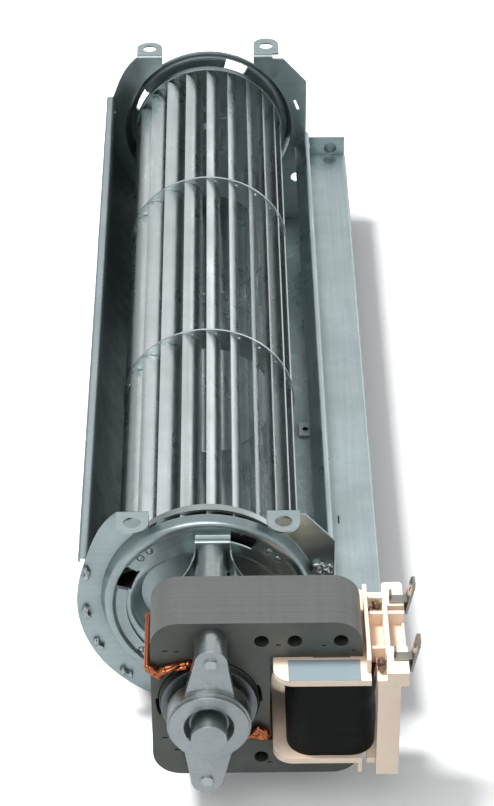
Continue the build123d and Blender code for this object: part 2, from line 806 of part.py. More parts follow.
def arm_sketch():
    """Front view of the bracket: two tapered arms."""
    top, low = polar(BOLT_R, BOLT_DEG), polar(BOLT_R, BOLT_DEG + 180)
    shape = Pos(*top) * Circle(4.9) + Pos(*low) * Circle(5.0)
    shape += face_of([(top[0] - 4.6, top[1] + 1.6), (top[0] + 4.6, top[1] + 1.6),
                      (8.6, 4.0), (8.6, -4.0), (low[0] + 4.7, low[1] - 1.6),
                      (low[0] - 4.7, low[1] - 1.6), (-8.6, -4.0), (-8.6, 4.0)])
    return shape


def bracket(y_stack, out, posts):
    """Die-cast bearing bracket standing on one side of the stack."""
    def st(d):
        return y_stack + out * d

    def lay(sketch, d0, d1):
        y0, y1 = sorted((st(d0), st(d1)))
        return slab(sketch, y0, y1)

    body = lay(arm_sketch(), ARM_FACE - ARM_T, ARM_FACE)
    body += lay(Circle(BRACKET_HUB_R), ARM_FACE - 5.0, BRACKET_HUB_H - 1.2)
    body += lay(Circle(BRACKET_HUB_R - 0.7), BRACKET_HUB_H - 1.2, BRACKET_HUB_H)
    lip, bottom = st(BRACKET_HUB_H + 0.1), st(BRACKET_HUB_H - RECESS_D)
    body -= turned([(0, lip), (RECESS_R + 0.5, lip), (RECESS_R - 1.2, bottom), (0, bottom)])
    boss_end = BOSS_H if out < 0 else BRACKET_HUB_H + 1.6
    body += lay(Circle(BOSS_R), ARM_FACE - 5.0, boss_end)
    cap = 1.2 if out < 0 else 0.0
    body -= lay(Circle(4.4), 0, boss_end - cap)
    for turn in (0, 180):
        x, z = polar(BOLT_R, BOLT_DEG + turn)
        body += lay(Pos(x, z) * Circle(PILLAR_R), 0, ARM_FACE - ARM_T + 0.5)
        if posts:
            end = (PAD_Y - y_stack) * out
            body += lay(Pos(x, z) * Circle(POST_R), ARM_FACE - 1, end)
        body -= lay(Pos(x, z) * Circle(2.1), -1, ARM_FACE + (1 if not posts else 30))
    return body


def bearing_bush(y0, y1):
    return pipe(SHAFT_R + RUN_CLEAR, 4.4, y0, y1)


def bracket_bolt(turn):
    """Long rivet through the front arm, the stack and the rear arm."""
    x, z = polar(BOLT_R, BOLT_DEG + turn)
    y0 = STACK_Y0 - ARM_FACE
    y1 = STACK_Y1 + ARM_FACE - 1.5
    pin = round_hole(x, z, 4.2, y0, y1)
    head = slab(Pos(x, z) * RectangleRounded(3.3, 3.0, 0.9), y0 - 0.7, y0)
    return pin + head


def mount_screw(turn):
    """Screw from inside the dish pad into the rear pillar."""
    x, z = polar(BOLT_R, BOLT_DEG + turn)
    inner = PAD_Y + SHEET
    shank = round_hole(x, z, 4.2, PAD_Y - 7.5, inner)
    head = round_hole(x, z, 5.2, inner, inner + 2.0)
    return shank + head - slab(Pos(x, z) * Rectangle(6.0, 0.9), inner + 1.3, inner + 3)


def motor_shaft():
    return turned([(0, SHAFT_Y0), (SHAFT_R - 0.5, SHAFT_Y0), (SHAFT_R, SHAFT_Y0 + 0.5),
                   (SHAFT_R, SHAFT_Y1 - 0.5), (SHAFT_R - 0.5, SHAFT_Y1), (0, SHAFT_Y1)])


def rotor_bar_holes(y0, y1):
    bars = None
    for k in range(17):
        dot = Pos(*polar(ROTOR_R - 1.6, 360.0 * k / 17)) * Circle(0.95)
        bars = dot if bars is None else bars + dot
    return slab(bars, y0, y1)


def rotor_core():
    core = pipe(SHAFT_R, ROTOR_R, STACK_Y0 - 0.4, STACK_Y1 + 0.4)
    return core - rotor_bar_holes(STACK_Y0 - 2, STACK_Y1 + 2)


def rotor_cage():
    """Cast aluminium bars and the two end rings."""
    y0, y1 = STACK_Y0 - 0.4, STACK_Y1 + 0.4
    cage = rotor_bar_holes(y0, y1)
    for face, out in ((y0, -1), (y1, 1)):
        far = face + out * 2.4
        cage += turned([(11.2, face), (ROTOR_R - 0.1, face), (ROTOR_R - 0.5, far), (12.2, far)])
    return cage


def thrust_washer(y0, y1):
    return pipe(SHAFT_R, 4.2, y0, y1)


def bobbin_flanges():
    """Top and bottom flange with round corners, on the tube round the limb."""
    hz, t = BOBBIN_HZ, FLANGE_T
    x0, y0, y1 = BOBBIN_X0, BOBBIN_Y0, BOBBIN_Y1
    top = box(x0, FLANGE_X1, y0, y1, hz - t, hz)
    low = box(x0, LOW_FLANGE_X1, y0, y1, -hz, t - hz)
    left = top.edges().filter_by(Axis.Z).sort_by(Axis.X)[:2]
    top = fillet(left, 6.0)
    rear = top.edges().filter_by(Axis.Z).sort_by(Axis.Y)[-1]
    top = fillet(rear, 4.0)
    left = low.edges().filter_by(Axis.Z).sort_by(Axis.X)[:2]
    low = fillet(left, 6.0)
    g = 0.9
    tube = box(LIMB_X0 - g, LIMB_X1 + g, STACK_Y0 - g, STACK_Y1 + g, t - hz, hz - t)
    return top + low + tube


def terminal_block():
    """Block beside the top flange: two seats, four pockets, ribs and the fin."""
    hz, top = BOBBIN_HZ, BLOCK_TOP_Z
    x0, x1, y0, y1 = BLOCK_X0, BLOCK_X1, BLOCK_Y0, BLOCK_Y1
    base = box(FLANGE_X1 - 0.5, x1, y0 + 3.2, y1, hz - FLANGE_T, hz)
    near = box(RIB_X0, x1, y0, y0 + 12.5, POCKET_Z, top)
    near += box(x0 + 1.5, RIB_X0 + 0.4, y0, y0 + 7.0, POCKET_Z, top - 2.8)
    far = box(RIB_X0 + 0.2, x1, y1 - 11.5, y1, POCKET_Z, top)
    rear = far.edges().filter_by(Axis.Z).sort_by(Axis.Y)[-2:]
    far = fillet(rear, 1.3)
    block = base + near + far
    py0, py1 = POCKET_Y0, POCKET_Y1
    block += box(RIB_X0, RIB_X1, y0 + 12, y1 - 11, hz - 1, top)
    block += box(x0 - 0.8, RIB_X0 + 0.4, py0 - 1.2, py0, hz - 1, top - 0.6)
    block += box(x0 - 0.8, x1, py1, py1 + 1.4, hz - 1, top - 0.6)
    block += box(50.0, RIB_X0 + 0.4, y1 - 5.5, y1 - 3.9, hz - 1, top - 1.8)
    block -= box(RIB_X1, x1 - 0.8, py0, py1, POCKET_Z, top + 1)
    block -= box(x0 + 0.6, RIB_X0, py0, py1, POCKET_Z, top + 1)
    block -= box(x0 - 1, x0 + 1.5, y0 - 1, py0 - 1.2, hz - FLANGE_T - 1, hz + 0.2)
    fin = box(FLANGE_X1 - 1.2, FLANGE_X1, BOBBIN_Y0 + 3.6, BOBBIN_Y1 - 4.2,
              hz - FLANGE_T, FIN_TOP_Z)
    return block + fin


def bobbin_legs():
    """Snap leg and wide leg under the front of the bottom flange."""
    hz, t, y0 = BOBBIN_HZ, FLANGE_T, BOBBIN_Y0
    legs = box(STACK_X1 - 1.4, STACK_X1, y0, y0 + LEG_T, -hz - 3.6, t - hz)
    legs += box(50.4, LOW_FLANGE_X1, y0 - 1.4, y0 + 1.0, -hz - 3.4, hz)
    return legs


def bobbin():
    """Moulded bobbin with its flanges, legs and terminal block."""
    hz, t = BOBBIN_HZ, FLANGE_T
    shape = bobbin_flanges() + terminal_block() + bobbin_legs()
    shape -= box(STACK_X1, STACK_X1 + 1.3, BOBBIN_Y0 - 1, BOBBIN_Y0 + 9, -hz - 1, t - hz + 1)
    c = 0.1
    shape -= box(LIMB_X0 - c, LIMB_X1 + c, STACK_Y0 - c, STACK_Y1 + c, -hz - 1, hz + 1)
    for y in TERMINAL_YS:
        shape -= terminal_bar(y)
        shape -= box(WRAP_X0 - 0.4, FOOT_X0 + 0.8, y - 1.9, y + 1.9, FOOT_Z - 0.8, BLOCK_TOP_Z + 1)
    return shape


def coil_winding():
    """Taped coil around the bobbin tube."""
    cx, cy = (COIL_X0 + COIL_X1) / 2, (COIL_Y0 + COIL_Y1) / 2
    outer = RectangleRounded(COIL_X1 - COIL_X0, COIL_Y1 - COIL_Y0, COIL_CORNER)
    z0, z1 = FLANGE_T - BOBBIN_HZ, BOBBIN_HZ - FLANGE_T
    coil = extrude(Plane.XY.offset(z0) * (Pos(cx, cy) * outer), amount=z1 - z0)
    hole = box(LIMB_X0 - 0.9, LIMB_X1 + 0.9, STACK_Y0 - 0.9, STACK_Y1 + 0.9, z0 - 1, z1 + 1)
    return coil - hole


def terminal_bar(y):
    """Flat bar of a terminal on the block, with its turned-up tail and its wire foot."""
    w, f = BAR_HALF, FOOT_HALF
    bar = box(BAR_X0, TERMINAL_X + 0.5, y - w, y + w, BAR_Z - 0.1, BAR_Z + BAR_T)
    tail = box(BAR_X0, BAR_X0 + BAR_T, y + 0.2, y + w, BAR_Z, BAR_Z + 3.0)
    foot = box(FOOT_X0, BAR_X0 + BAR_T, y - f, y + f, FOOT_Z, FOOT_Z + BAR_T)
    stem = box(BAR_X0, BAR_X0 + BAR_T, y - f, y + f, FOOT_Z, BAR_Z + BAR_T)
    return bar + tail + foot + stem


def terminal(y):
    """Spade terminal: bar and tail on the block and the raised blade with its hole."""
    blade = box(-BAR_T / 2, BAR_T / 2, -BLADE_W / 2, BLADE_W / 2, 0, BLADE_LEN)
    tip = blade.edges().filter_by(Axis.X).sort_by(Axis.Z)[-2:]
    blade = chamfer(tip, 1.4)
    blade -= Pos(0, 0, BLADE_LEN - 3.5) * Rot(0, 90, 0) * Cylinder(BLADE_HOLE_D / 2, 4)
    blade = Pos(TERMINAL_X, y, BAR_Z - 2.9) * Rot(0, TERMINAL_LEAN, 0) * blade
    return terminal_bar(y) + blade


def coil_leads():
    """Two leads, each with four turns round the foot of a terminal."""
    out = []
    z = FOOT_Z + BAR_T / 2
    half_y, half_z = FOOT_HALF + WIRE_D, BAR_T / 2 + WIRE_D + 0.05
    for y in TERMINAL_YS:
        wrap = box(WRAP_X0, FOOT_X0, y - FOOT_HALF, y + FOOT_HALF, FOOT_Z, FOOT_Z + BAR_T)
        for i in range(WRAP_TURNS):
            x = WRAP_X0 + 0.05 + WIRE_PITCH * i
            ring = box(x, x + WIRE_D, y - half_y, y + half_y, z - half_z, z + half_z)
            wrap += fillet(ring.edges().filter_by(Axis.X), 0.7)
        out.append(wrap)
    return out


def blank_label():
    """Bare label on the top flange."""
    front = BOBBIN_Y0 + 0.1
    return box(23.8, 45.4, front, front + LABEL_W, BOBBIN_HZ, BOBBIN_HZ + LABEL_T)


# collect, move to the part origin and write

def group(solids):
    out = []
    for item in solids:
        out.extend(item.solids())
    return Compound(children=out)


def build():
    nodes = {}
    nodes["scroll_housing"] = scroll_housing() - strut_rivet_holes()
    nodes["tongue_plate"] = tongue_plate() - strut_rivet_holes()
    nodes["outlet_strut"] = outlet_strut()
    nodes["strut_rivets"] = group(strut_rivets())
    nodes["motor_end_plate"] = end_plate(False)
    nodes["bearing_end_plate"] = to_far(end_plate(True))
    nodes["motor_mount_dish"] = motor_mount_dish()
    nodes["bearing_dish"] = to_far(bearing_dish())
    nodes["impeller_blades"] = group(impeller_blades())
    nodes["impeller_disc_motor"] = end_disc(NEAR_WEB_Y, 1) - rivet_holes(NEAR_WEB_Y)
    nodes["impeller_ring_motor_side"] = middle_ring(RING_YS[0])
    nodes["impeller_ring_bearing_side"] = middle_ring(RING_YS[1])
    nodes["impeller_disc_bearing"] = end_disc(FAR_WEB_Y, -1) - rivet_holes(FAR_WEB_Y)
    nodes["impeller_hub"] = impeller_hub() - rivet_holes(NEAR_WEB_Y)
    nodes["hub_set_screw"] = set_screw()
    nodes["impeller_stub"] = impeller_stub() - rivet_holes(FAR_WEB_Y)
    rivets = hub_rivets(NEAR_WEB_Y, 1) + hub_rivets(FAR_WEB_Y, -1)
    nodes["hub_rivets"] = group(rivets)
    nodes["far_rubber_mount"] = to_far(far_rubber())
    nodes["far_bearing_bush"] = to_far(far_bush())
    nodes["far_retainer_ring"] = to_far(far_retainer())
    nodes["far_retainer_rivets"] = to_far(group(far_retainer_rivets()))
    nodes["stator_core"] = stator_core()
    nodes["coil_limb"] = coil_limb()
    nodes["shading_rings"] = group([shading_ring(0), shading_ring(180)])
    nodes["front_bracket"] = bracket(STACK_Y0, -1, False)
    nodes["rear_bracket"] = bracket(STACK_Y1, 1, True)
    nodes["front_bearing_bush"] = bearing_bush(STACK_Y0 - BOSS_H + 1.8, STACK_Y0 - 7.2)
    nodes["rear_bearing_bush"] = bearing_bush(STACK_Y1 + 7.2, STACK_Y1 + BRACKET_HUB_H + 1.0)
    nodes["bracket_rivets"] = group([bracket_bolt(0), bracket_bolt(180)])
    nodes["motor_mount_screws"] = group([mount_screw(0), mount_screw(180)])
    nodes["motor_shaft"] = motor_shaft()
    nodes["rotor_core"] = rotor_core()
    nodes["rotor_cage"] = rotor_cage()
    washers = [thrust_washer(STACK_Y0 - 7.1, STACK_Y0 - 0.4),
               thrust_washer(STACK_Y1 + 0.4, STACK_Y1 + 7.1)]
    nodes["shaft_spacers"] = group(washers)
    nodes["bobbin"] = bobbin()
    nodes["coil_winding"] = coil_winding()
    nodes["coil_leads"] = group(coil_leads())
    nodes["spade_terminals"] = group([terminal(y) for y in TERMINAL_YS])
    nodes["blank_label"] = blank_label()
    return nodes


def main():
    nodes = build()
    lows = [n.bounding_box().min for n in nodes.values()]
    highs = [n.bounding_box().max for n in nodes.values()]
    x = (min(p.X for p in lows) + max(p.X for p in highs)) / 2
    y = (min(p.Y for p in lows) + max(p.Y for p in highs)) / 2
    z = min(p.Z for p in lows)
    shift = Pos(-x, -y, -z)
    print("shift", round(-x, 4), round(-y, 4), round(-z, 4))
    for name, solid in nodes.items():
        moved = Compound(children=[shift * s for s in solid.solids()])
        print(name, len(moved.solids()), round(moved.volume, 1))
        export_step(moved, "parts/" + name + ".step")


main()
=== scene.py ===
# %% [markdown]
# Cross flow fan
#
# A long bladed impeller turns in a bent sheet metal scroll. A small shaded-pole
# motor stands on one end plate. This lesson dresses the solids of the fan:
# it gives each one a surface, adds the parts that are wound, soldered or
# hammered, and sets the camera and the light. Places are given in millimetres
# about the fan axis, as on the drawing, and mm() turns them into the metres of
# the frame. PLATE_GAP is the length over the two end plates.

# %% load the frame
import math

import bmesh
import bpy
from mathutils import Matrix, Vector, noise


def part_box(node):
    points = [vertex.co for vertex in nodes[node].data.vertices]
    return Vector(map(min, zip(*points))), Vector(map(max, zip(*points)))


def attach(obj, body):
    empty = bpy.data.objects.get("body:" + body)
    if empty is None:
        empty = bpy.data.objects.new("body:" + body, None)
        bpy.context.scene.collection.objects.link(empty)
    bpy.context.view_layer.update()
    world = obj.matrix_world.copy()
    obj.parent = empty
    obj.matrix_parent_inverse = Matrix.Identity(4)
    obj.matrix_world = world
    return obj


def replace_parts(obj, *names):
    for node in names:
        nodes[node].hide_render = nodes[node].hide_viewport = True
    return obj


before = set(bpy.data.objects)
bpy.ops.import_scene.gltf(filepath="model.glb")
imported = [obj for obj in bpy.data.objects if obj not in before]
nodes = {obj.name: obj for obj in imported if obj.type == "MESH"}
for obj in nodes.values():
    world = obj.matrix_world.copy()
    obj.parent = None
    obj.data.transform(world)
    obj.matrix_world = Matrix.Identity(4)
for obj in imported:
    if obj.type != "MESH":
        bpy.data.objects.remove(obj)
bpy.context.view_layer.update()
SHIFT = Vector((-10.4613, -124.0, 46.2))
PLATE_GAP = 302.6


def mm(x, y, z):
    """A point given in millimetres about the fan axis, as metres in the row frame."""
    return (Vector((x, y, z)) + SHIFT) * 0.001


# %% [markdown]
# The camera looks down the fan from the motor's end. It could be placed by eye,
# but a long lens far away and a short one near by frame the fan alike and bend
# it differently. So its place, tilt and lens were worked out together from the
# holes, rings and edges of the picture.

# %% camera
scene = bpy.context.scene
YAW, PITCH, ROLL = (math.radians(v) for v in (0.523, 35.092, -0.256))
LENS_PIXELS, PICTURE_HEIGHT, SENSOR = 2698.15, 806, 36.0
CAMERA_PLACE = (6.282, -667.799, 543.862)
forward = Vector((math.sin(YAW) * math.cos(PITCH), math.cos(YAW) * math.cos(PITCH),
                  -math.sin(PITCH)))
right = Vector((math.cos(YAW), -math.sin(YAW), 0.0))
up = right.cross(forward)
turn = Matrix.Rotation(-ROLL, 3, forward)
axes = Matrix((turn @ right, turn @ up, -forward)).transposed()
camera_data = bpy.data.cameras.new("camera")
camera_data.sensor_width = SENSOR
camera_data.lens = LENS_PIXELS / PICTURE_HEIGHT * SENSOR
camera_data.clip_start = 0.05
camera_data.clip_end = 20.0
camera = bpy.data.objects.new("camera", camera_data)
scene.collection.objects.link(camera)
camera.matrix_world = Matrix.Translation(mm(*CAMERA_PLACE)) @ axes.to_4x4()
scene.camera = camera
print("camera at", [round(v, 4) for v in camera.location])

# %% [markdown]
# The fan stands on pale paper that is folded up far behind it. A plane and a
# wall could do, but one grid whose back edge is extruded upwards has no seam.

# %% floor
FLOOR_HALF, BACK_HEIGHT = 4.0, 3.0
floor_mesh = bmesh.new()
bmesh.ops.create_grid(floor_mesh, x_segments=8, y_segments=8, size=FLOOR_HALF)
back = [e for e in floor_mesh.edges if all(v.co.y > FLOOR_HALF - 0.01 for v in e.verts)]
lifted = bmesh.ops.extrude_edge_only(floor_mesh, edges=back)["geom"]
bmesh.ops.translate(floor_mesh, vec=(0, 0, BACK_HEIGHT),
                    verts=[g for g in lifted if isinstance(g, bmesh.types.BMVert)])
floor_data = bpy.data.meshes.new("floor")
floor_mesh.to_mesh(floor_data)
floor_mesh.free()
floor = bpy.data.objects.new("floor", floor_data)
scene.collection.objects.link(floor)
print("floor faces:", len(floor_data.polygons))

# %% [markdown]
# The paper is almost white to the eye, yet the metal must not mirror it as
# white, or the undersides turn pale. The Light Path node tells whether a ray
# comes from the camera, so the paper is pale there and grey in reflections.

# %% floor paper
PAPER_MIRRORED, PAPER_SEEN, PAPER_GLOW = (0.36, 0.37, 0.38, 1), (0.93, 0.93, 0.93, 1), 0.03
floor_material = bpy.data.materials.new("floor paper")
floor_material.use_nodes = True
paper_tree = floor_material.node_tree
paper = paper_tree.nodes["Principled BSDF"]
paper.inputs["Roughness"].default_value = 0.9
paper.inputs["Specular IOR Level"].default_value = 0.0
sight = paper_tree.nodes.new("ShaderNodeLightPath")
paper_tone = paper_tree.nodes.new("ShaderNodeMix")
paper_tone.data_type = "RGBA"
paper_tone.inputs[6].default_value = PAPER_MIRRORED
paper_tone.inputs[7].default_value = PAPER_SEEN
paper_tree.links.new(sight.outputs["Is Camera Ray"], paper_tone.inputs[0])
paper_tree.links.new(paper_tone.outputs[2], paper.inputs["Base Color"])
paper.inputs["Emission Color"].default_value = (1.0, 1.0, 1.0, 1)
paper_glow = paper_tree.nodes.new("ShaderNodeMath")
paper_glow.operation = "MULTIPLY"
paper_glow.inputs[1].default_value = PAPER_GLOW
paper_tree.links.new(sight.outputs["Is Camera Ray"], paper_glow.inputs[0])
paper_tree.links.new(paper_glow.outputs[0], paper.inputs["Emission Strength"])
floor_data.materials.append(floor_material)
print("floor paper nodes:", len(paper_tree.nodes))

# %% [markdown]
# A lamp high on the left makes the shadow on the right. It is kept out of
# mirrored light, because the metal should mirror only the large pale panels
# behind, beside and in front of the fan. The panels behind and beside do the
# opposite: they are seen only in the metal and throw no light on the floor.
# One lamp could do both jobs, but then the shadow and the gloss could not be
# set apart from each other.

# %% lamps


def lamp(name, place, aim, size, power, colour=(1, 1, 1), mirrored=True, spread=True):
    """Flat lamp at a place, turned to look at a point.

    It can be left out of mirrored light or out of spread light.
    """
    data = bpy.data.lights.new(name, "AREA")
    data.shape = "RECTANGLE"
    data.size, data.size_y = size
    data.energy = power
    data.color = colour
    item = bpy.data.objects.new(name, data)
    scene.collection.objects.link(item)
    item.location = place
    item.rotation_euler = (Vector(aim) - Vector(place)).to_track_quat("-Z", "Y").to_euler()
    item.visible_glossy = mirrored
    item.visible_diffuse = spread


lamp("key", (-0.59, 0.10, 1.28), (0, 0, 0), (0.30, 0.45), 35, mirrored=False)
lamp("front", (-0.3, -1.1, 1.5), (0, -0.1, 0.03), (1.2, 0.7), 10)
lamp("fill", (0.5, -1.8, 0.9), (0, -0.15, 0.02), (1.4, 0.8), 5, mirrored=False)
lamp("back", (0.0, 2.6, 1.6), (0, 0, 0), (2.8, 2.2), 12, spread=False)
lamp("left panel", (-1.7, 2.3, 0.65), (0, 0, 0), (1.8, 1.3), 2.0, spread=False)
lamp("right panel", (1.8, 2.1, 0.7), (0, 0, 0), (1.6, 1.3), 8, spread=False)
print("lamps:", len(bpy.data.lights))

# %% [markdown]
# The room around gives soft light from all sides. It is a little brighter in
# the metal than on the floor, as a white tent round the table would make it.

# %% room light
ROOM_SPREAD, ROOM_MIRRORED = 0.46, 0.54
world = bpy.data.worlds.new("studio")
scene.world = world
world.use_nodes = True
sky = world.node_tree.nodes["Background"]
sky.inputs["Color"].default_value = (0.9, 0.93, 0.95, 1)
sky_sight = world.node_tree.nodes.new("ShaderNodeLightPath")
sky_power = world.node_tree.nodes.new("ShaderNodeMapRange")
sky_power.inputs["To Min"].default_value = ROOM_SPREAD
sky_power.inputs["To Max"].default_value = ROOM_MIRRORED
world.node_tree.links.new(sky_sight.outputs["Is Glossy Ray"], sky_power.inputs["Value"])
world.node_tree.links.new(sky_power.outputs["Result"], sky.inputs["Strength"])
scene.view_settings.view_transform = "Standard"
print("room light from", ROOM_SPREAD, "to", ROOM_MIRRORED)

# %% [markdown]
# Effects that several materials share are node groups with named inputs and
# outputs, made once and given their own values in each material. A copy of the
# nodes in each material would work too, but a change would then have to be made
# in all of them.

# %% empty groups and nodes


def new_group(name, inputs, outputs):
    """Empty shader node group with float or vector sockets."""
    kinds = {"f": "NodeSocketFloat", "v": "NodeSocketVector", "c": "NodeSocketColor"}
    group = bpy.data.node_groups.new(name, "ShaderNodeTree")
    for label, kind, value in inputs:
        socket = group.interface.new_socket(label, in_out="INPUT", socket_type=kinds[kind])
        if kind == "f":
            socket.default_value = value
    for label, kind in outputs:
        group.interface.new_socket(label, in_out="OUTPUT", socket_type=kinds[kind])
    return group, group.nodes.new("NodeGroupInput"), group.nodes.new("NodeGroupOutput")


def add(tree, kind, links=(), **values):
    """New node with its settings and input links. A link is (socket, other socket)."""
    node = tree.nodes.new(kind)
    for key, value in values.items():
        setattr(node, key, value)
    for name, source in links:
        if isinstance(source, bpy.types.NodeSocket):
            tree.links.new(source, node.inputs[name])
        else:
            node.inputs[name].default_value = source
    return node


# %% [markdown]
# A pattern is mostly sums, ramps and noises. Each of the next helpers adds one
# such node and returns its output, so a material reads like a recipe.

# %% pattern helpers


def maths(tree, operation, a, b=0.0):
    """One step of arithmetic."""
    return add(tree, "ShaderNodeMath", [(0, a), (1, b)], operation=operation).outputs[0]


def ramp(tree, value, low, high, out_low=0.0, out_high=1.0):
    """Linear map of a value between two limits, clamped."""
    node = add(tree, "ShaderNodeMapRange",
               [("Value", value), ("From Min", low), ("From Max", high),
                ("To Min", out_low), ("To Max", out_high)])
    return node.outputs["Result"]


def scaled(tree, source, scale):
    """Vector multiplied by three numbers, to stretch a pattern."""
    node = add(tree, "ShaderNodeVectorMath", [(0, source), (1, scale)], operation="MULTIPLY")
    return node.outputs[0]


def noise_of(tree, vector, scale, detail=2.0, rough=0.5):
    """Soft cloudy noise. A larger scale gives smaller clouds."""
    node = add(tree, "ShaderNodeTexNoise", [("Vector", vector), ("Scale", scale),
                                            ("Detail", detail), ("Roughness", rough)])
    return node.outputs["Fac"]


def mixed(tree, factor, a, b, blend="MIX"):
    """Colour mix. Sockets 6 and 7 are the two colours and 2 is the result."""
    node = add(tree, "ShaderNodeMix", data_type="RGBA", blend_type=blend)
    for index, source in ((0, factor), (6, a), (7, b)):
        if isinstance(source, bpy.types.NodeSocket):
            tree.links.new(source, node.inputs[index])
        else:
            node.inputs[index].default_value = source
    return node.outputs[2]


print("material helpers ready")

# %% [markdown]
# Edges of real sheet and castings are slightly round and rubbed bright. Faces
# could be bevelled for that, at the price of many more of them. A Bevel node
# only bends the light at the edge, and where it bends it also marks the edge.

# %% shared effect: edges
edges, edges_in, edges_out = new_group(
    "soft edges", [("Radius", "f", 0.0002)], [("Normal", "v"), ("Edge", "f")])
rounder = add(edges, "ShaderNodeBevel", samples=4)
edges.links.new(edges_in.outputs["Radius"], rounder.inputs["Radius"])
flat = add(edges, "ShaderNodeNewGeometry")
agreement = add(edges, "ShaderNodeVectorMath",
                [(0, rounder.outputs[0]), (1, flat.outputs["Normal"])],
                operation="DOT_PRODUCT")
edge_mask = ramp(edges, agreement.outputs["Value"], 0.995, 0.85)
edges.links.new(rounder.outputs[0], edges_out.inputs["Normal"])
edges.links.new(edge_mask, edges_out.inputs["Edge"])
print("edge group nodes:", len(edges.nodes))

# %% [markdown]
# Zinc coating has soft blotches, faint crystal fields and fine rolling lines
# along the strip. The lines are noise stretched along one direction. A picture
# of real zinc could be wrapped round each piece, but it would show its seams.

# %% shared effect: zinc coat
zinc, zinc_in, zinc_out = new_group(
    "zinc coat", [("Along X", "f", 1.0), ("Along Y", "f", 0.03), ("Along Z", "f", 1.0)],
    [("Shade", "f"), ("Rough", "f"), ("Height", "f")])
where = add(zinc, "ShaderNodeTexCoord").outputs["Object"]
stretch = add(zinc, "ShaderNodeCombineXYZ")
for index, label in enumerate(("Along X", "Along Y", "Along Z")):
    zinc.links.new(zinc_in.outputs[label], stretch.inputs[index])
lines = noise_of(zinc, scaled(zinc, where, stretch.outputs[0]), 800.0, 1.0, 0.5)
blotch = noise_of(zinc, where, 45.0, 4.0, 0.6)
fields = add(zinc, "ShaderNodeTexVoronoi", [("Vector", where), ("Scale", 260.0)])
field_tone = add(zinc, "ShaderNodeSeparateColor", [(0, fields.outputs["Color"])]).outputs[0]
fine = noise_of(zinc, where, 900.0, 0.0, 0.5)
tone = maths(zinc, "ADD", ramp(zinc, blotch, 0.3, 0.7, 0.93, 1.06),
             ramp(zinc, field_tone, 0.0, 1.0, -0.025, 0.025))
tone = maths(zinc, "ADD", tone, ramp(zinc, lines, 0.3, 0.7, -0.04, 0.04))
gloss = maths(zinc, "ADD", ramp(zinc, blotch, 0.3, 0.7, 0.07, -0.05),
              ramp(zinc, field_tone, 0.0, 1.0, -0.03, 0.03))
relief = maths(zinc, "ADD", maths(zinc, "MULTIPLY", lines, 0.7),
               maths(zinc, "MULTIPLY", fine, 0.3))
zinc.links.new(tone, zinc_out.inputs["Shade"])
zinc.links.new(gloss, zinc_out.inputs["Rough"])
zinc.links.new(relief, zinc_out.inputs["Height"])
print("zinc group nodes:", len(zinc.nodes))

# %% [markdown]
# Corners get painted shade, partly standing for dirt and oil. An Ambient
# Occlusion node finds the enclosed places by itself, and noise breaks them up.

# %% shared effect: painted corner shade and grime
shade_and_grime, shade_and_grime_in, shade_and_grime_out = new_group(
    "corner grime", [("Distance", "f", 0.004), ("Amount", "f", 0.5)], [("Mask", "f")])
shade = add(shade_and_grime, "ShaderNodeAmbientOcclusion", samples=6)
shade_and_grime.links.new(shade_and_grime_in.outputs["Distance"], shade.inputs["Distance"])
spots = noise_of(shade_and_grime, add(shade_and_grime, "ShaderNodeTexCoord").outputs["Object"], 160.0, 3.0, 0.55)
closed = ramp(shade_and_grime, shade.outputs["AO"], 0.95, 0.35)
patchy = maths(shade_and_grime, "MULTIPLY", closed, ramp(shade_and_grime, spots, 0.3, 0.65, 0.75, 1.0))
# The mask is painted corner shade, broken up so that it also reads as dirt.
shade_and_grime.links.new(maths(shade_and_grime, "MULTIPLY", patchy, shade_and_grime_in.outputs["Amount"]),
                shade_and_grime_out.inputs["Mask"])
print("grime group nodes:", len(shade_and_grime.nodes))

# %% [markdown]
# Every metal in the fan is built by one function from the same three effects,
# with its own colours, roughness and direction of the rolling lines. So all of
# them look like one family, as sheet from the same rolling mill does.

# %% how a metal is made


def use(tree, group, **values):
    """Places a shared effect in a material and sets its inputs."""
    node = tree.nodes.new("ShaderNodeGroup")
    node.node_tree = group
    for name, value in values.items():
        node.inputs[name.replace("_", " ")].default_value = value
    return node


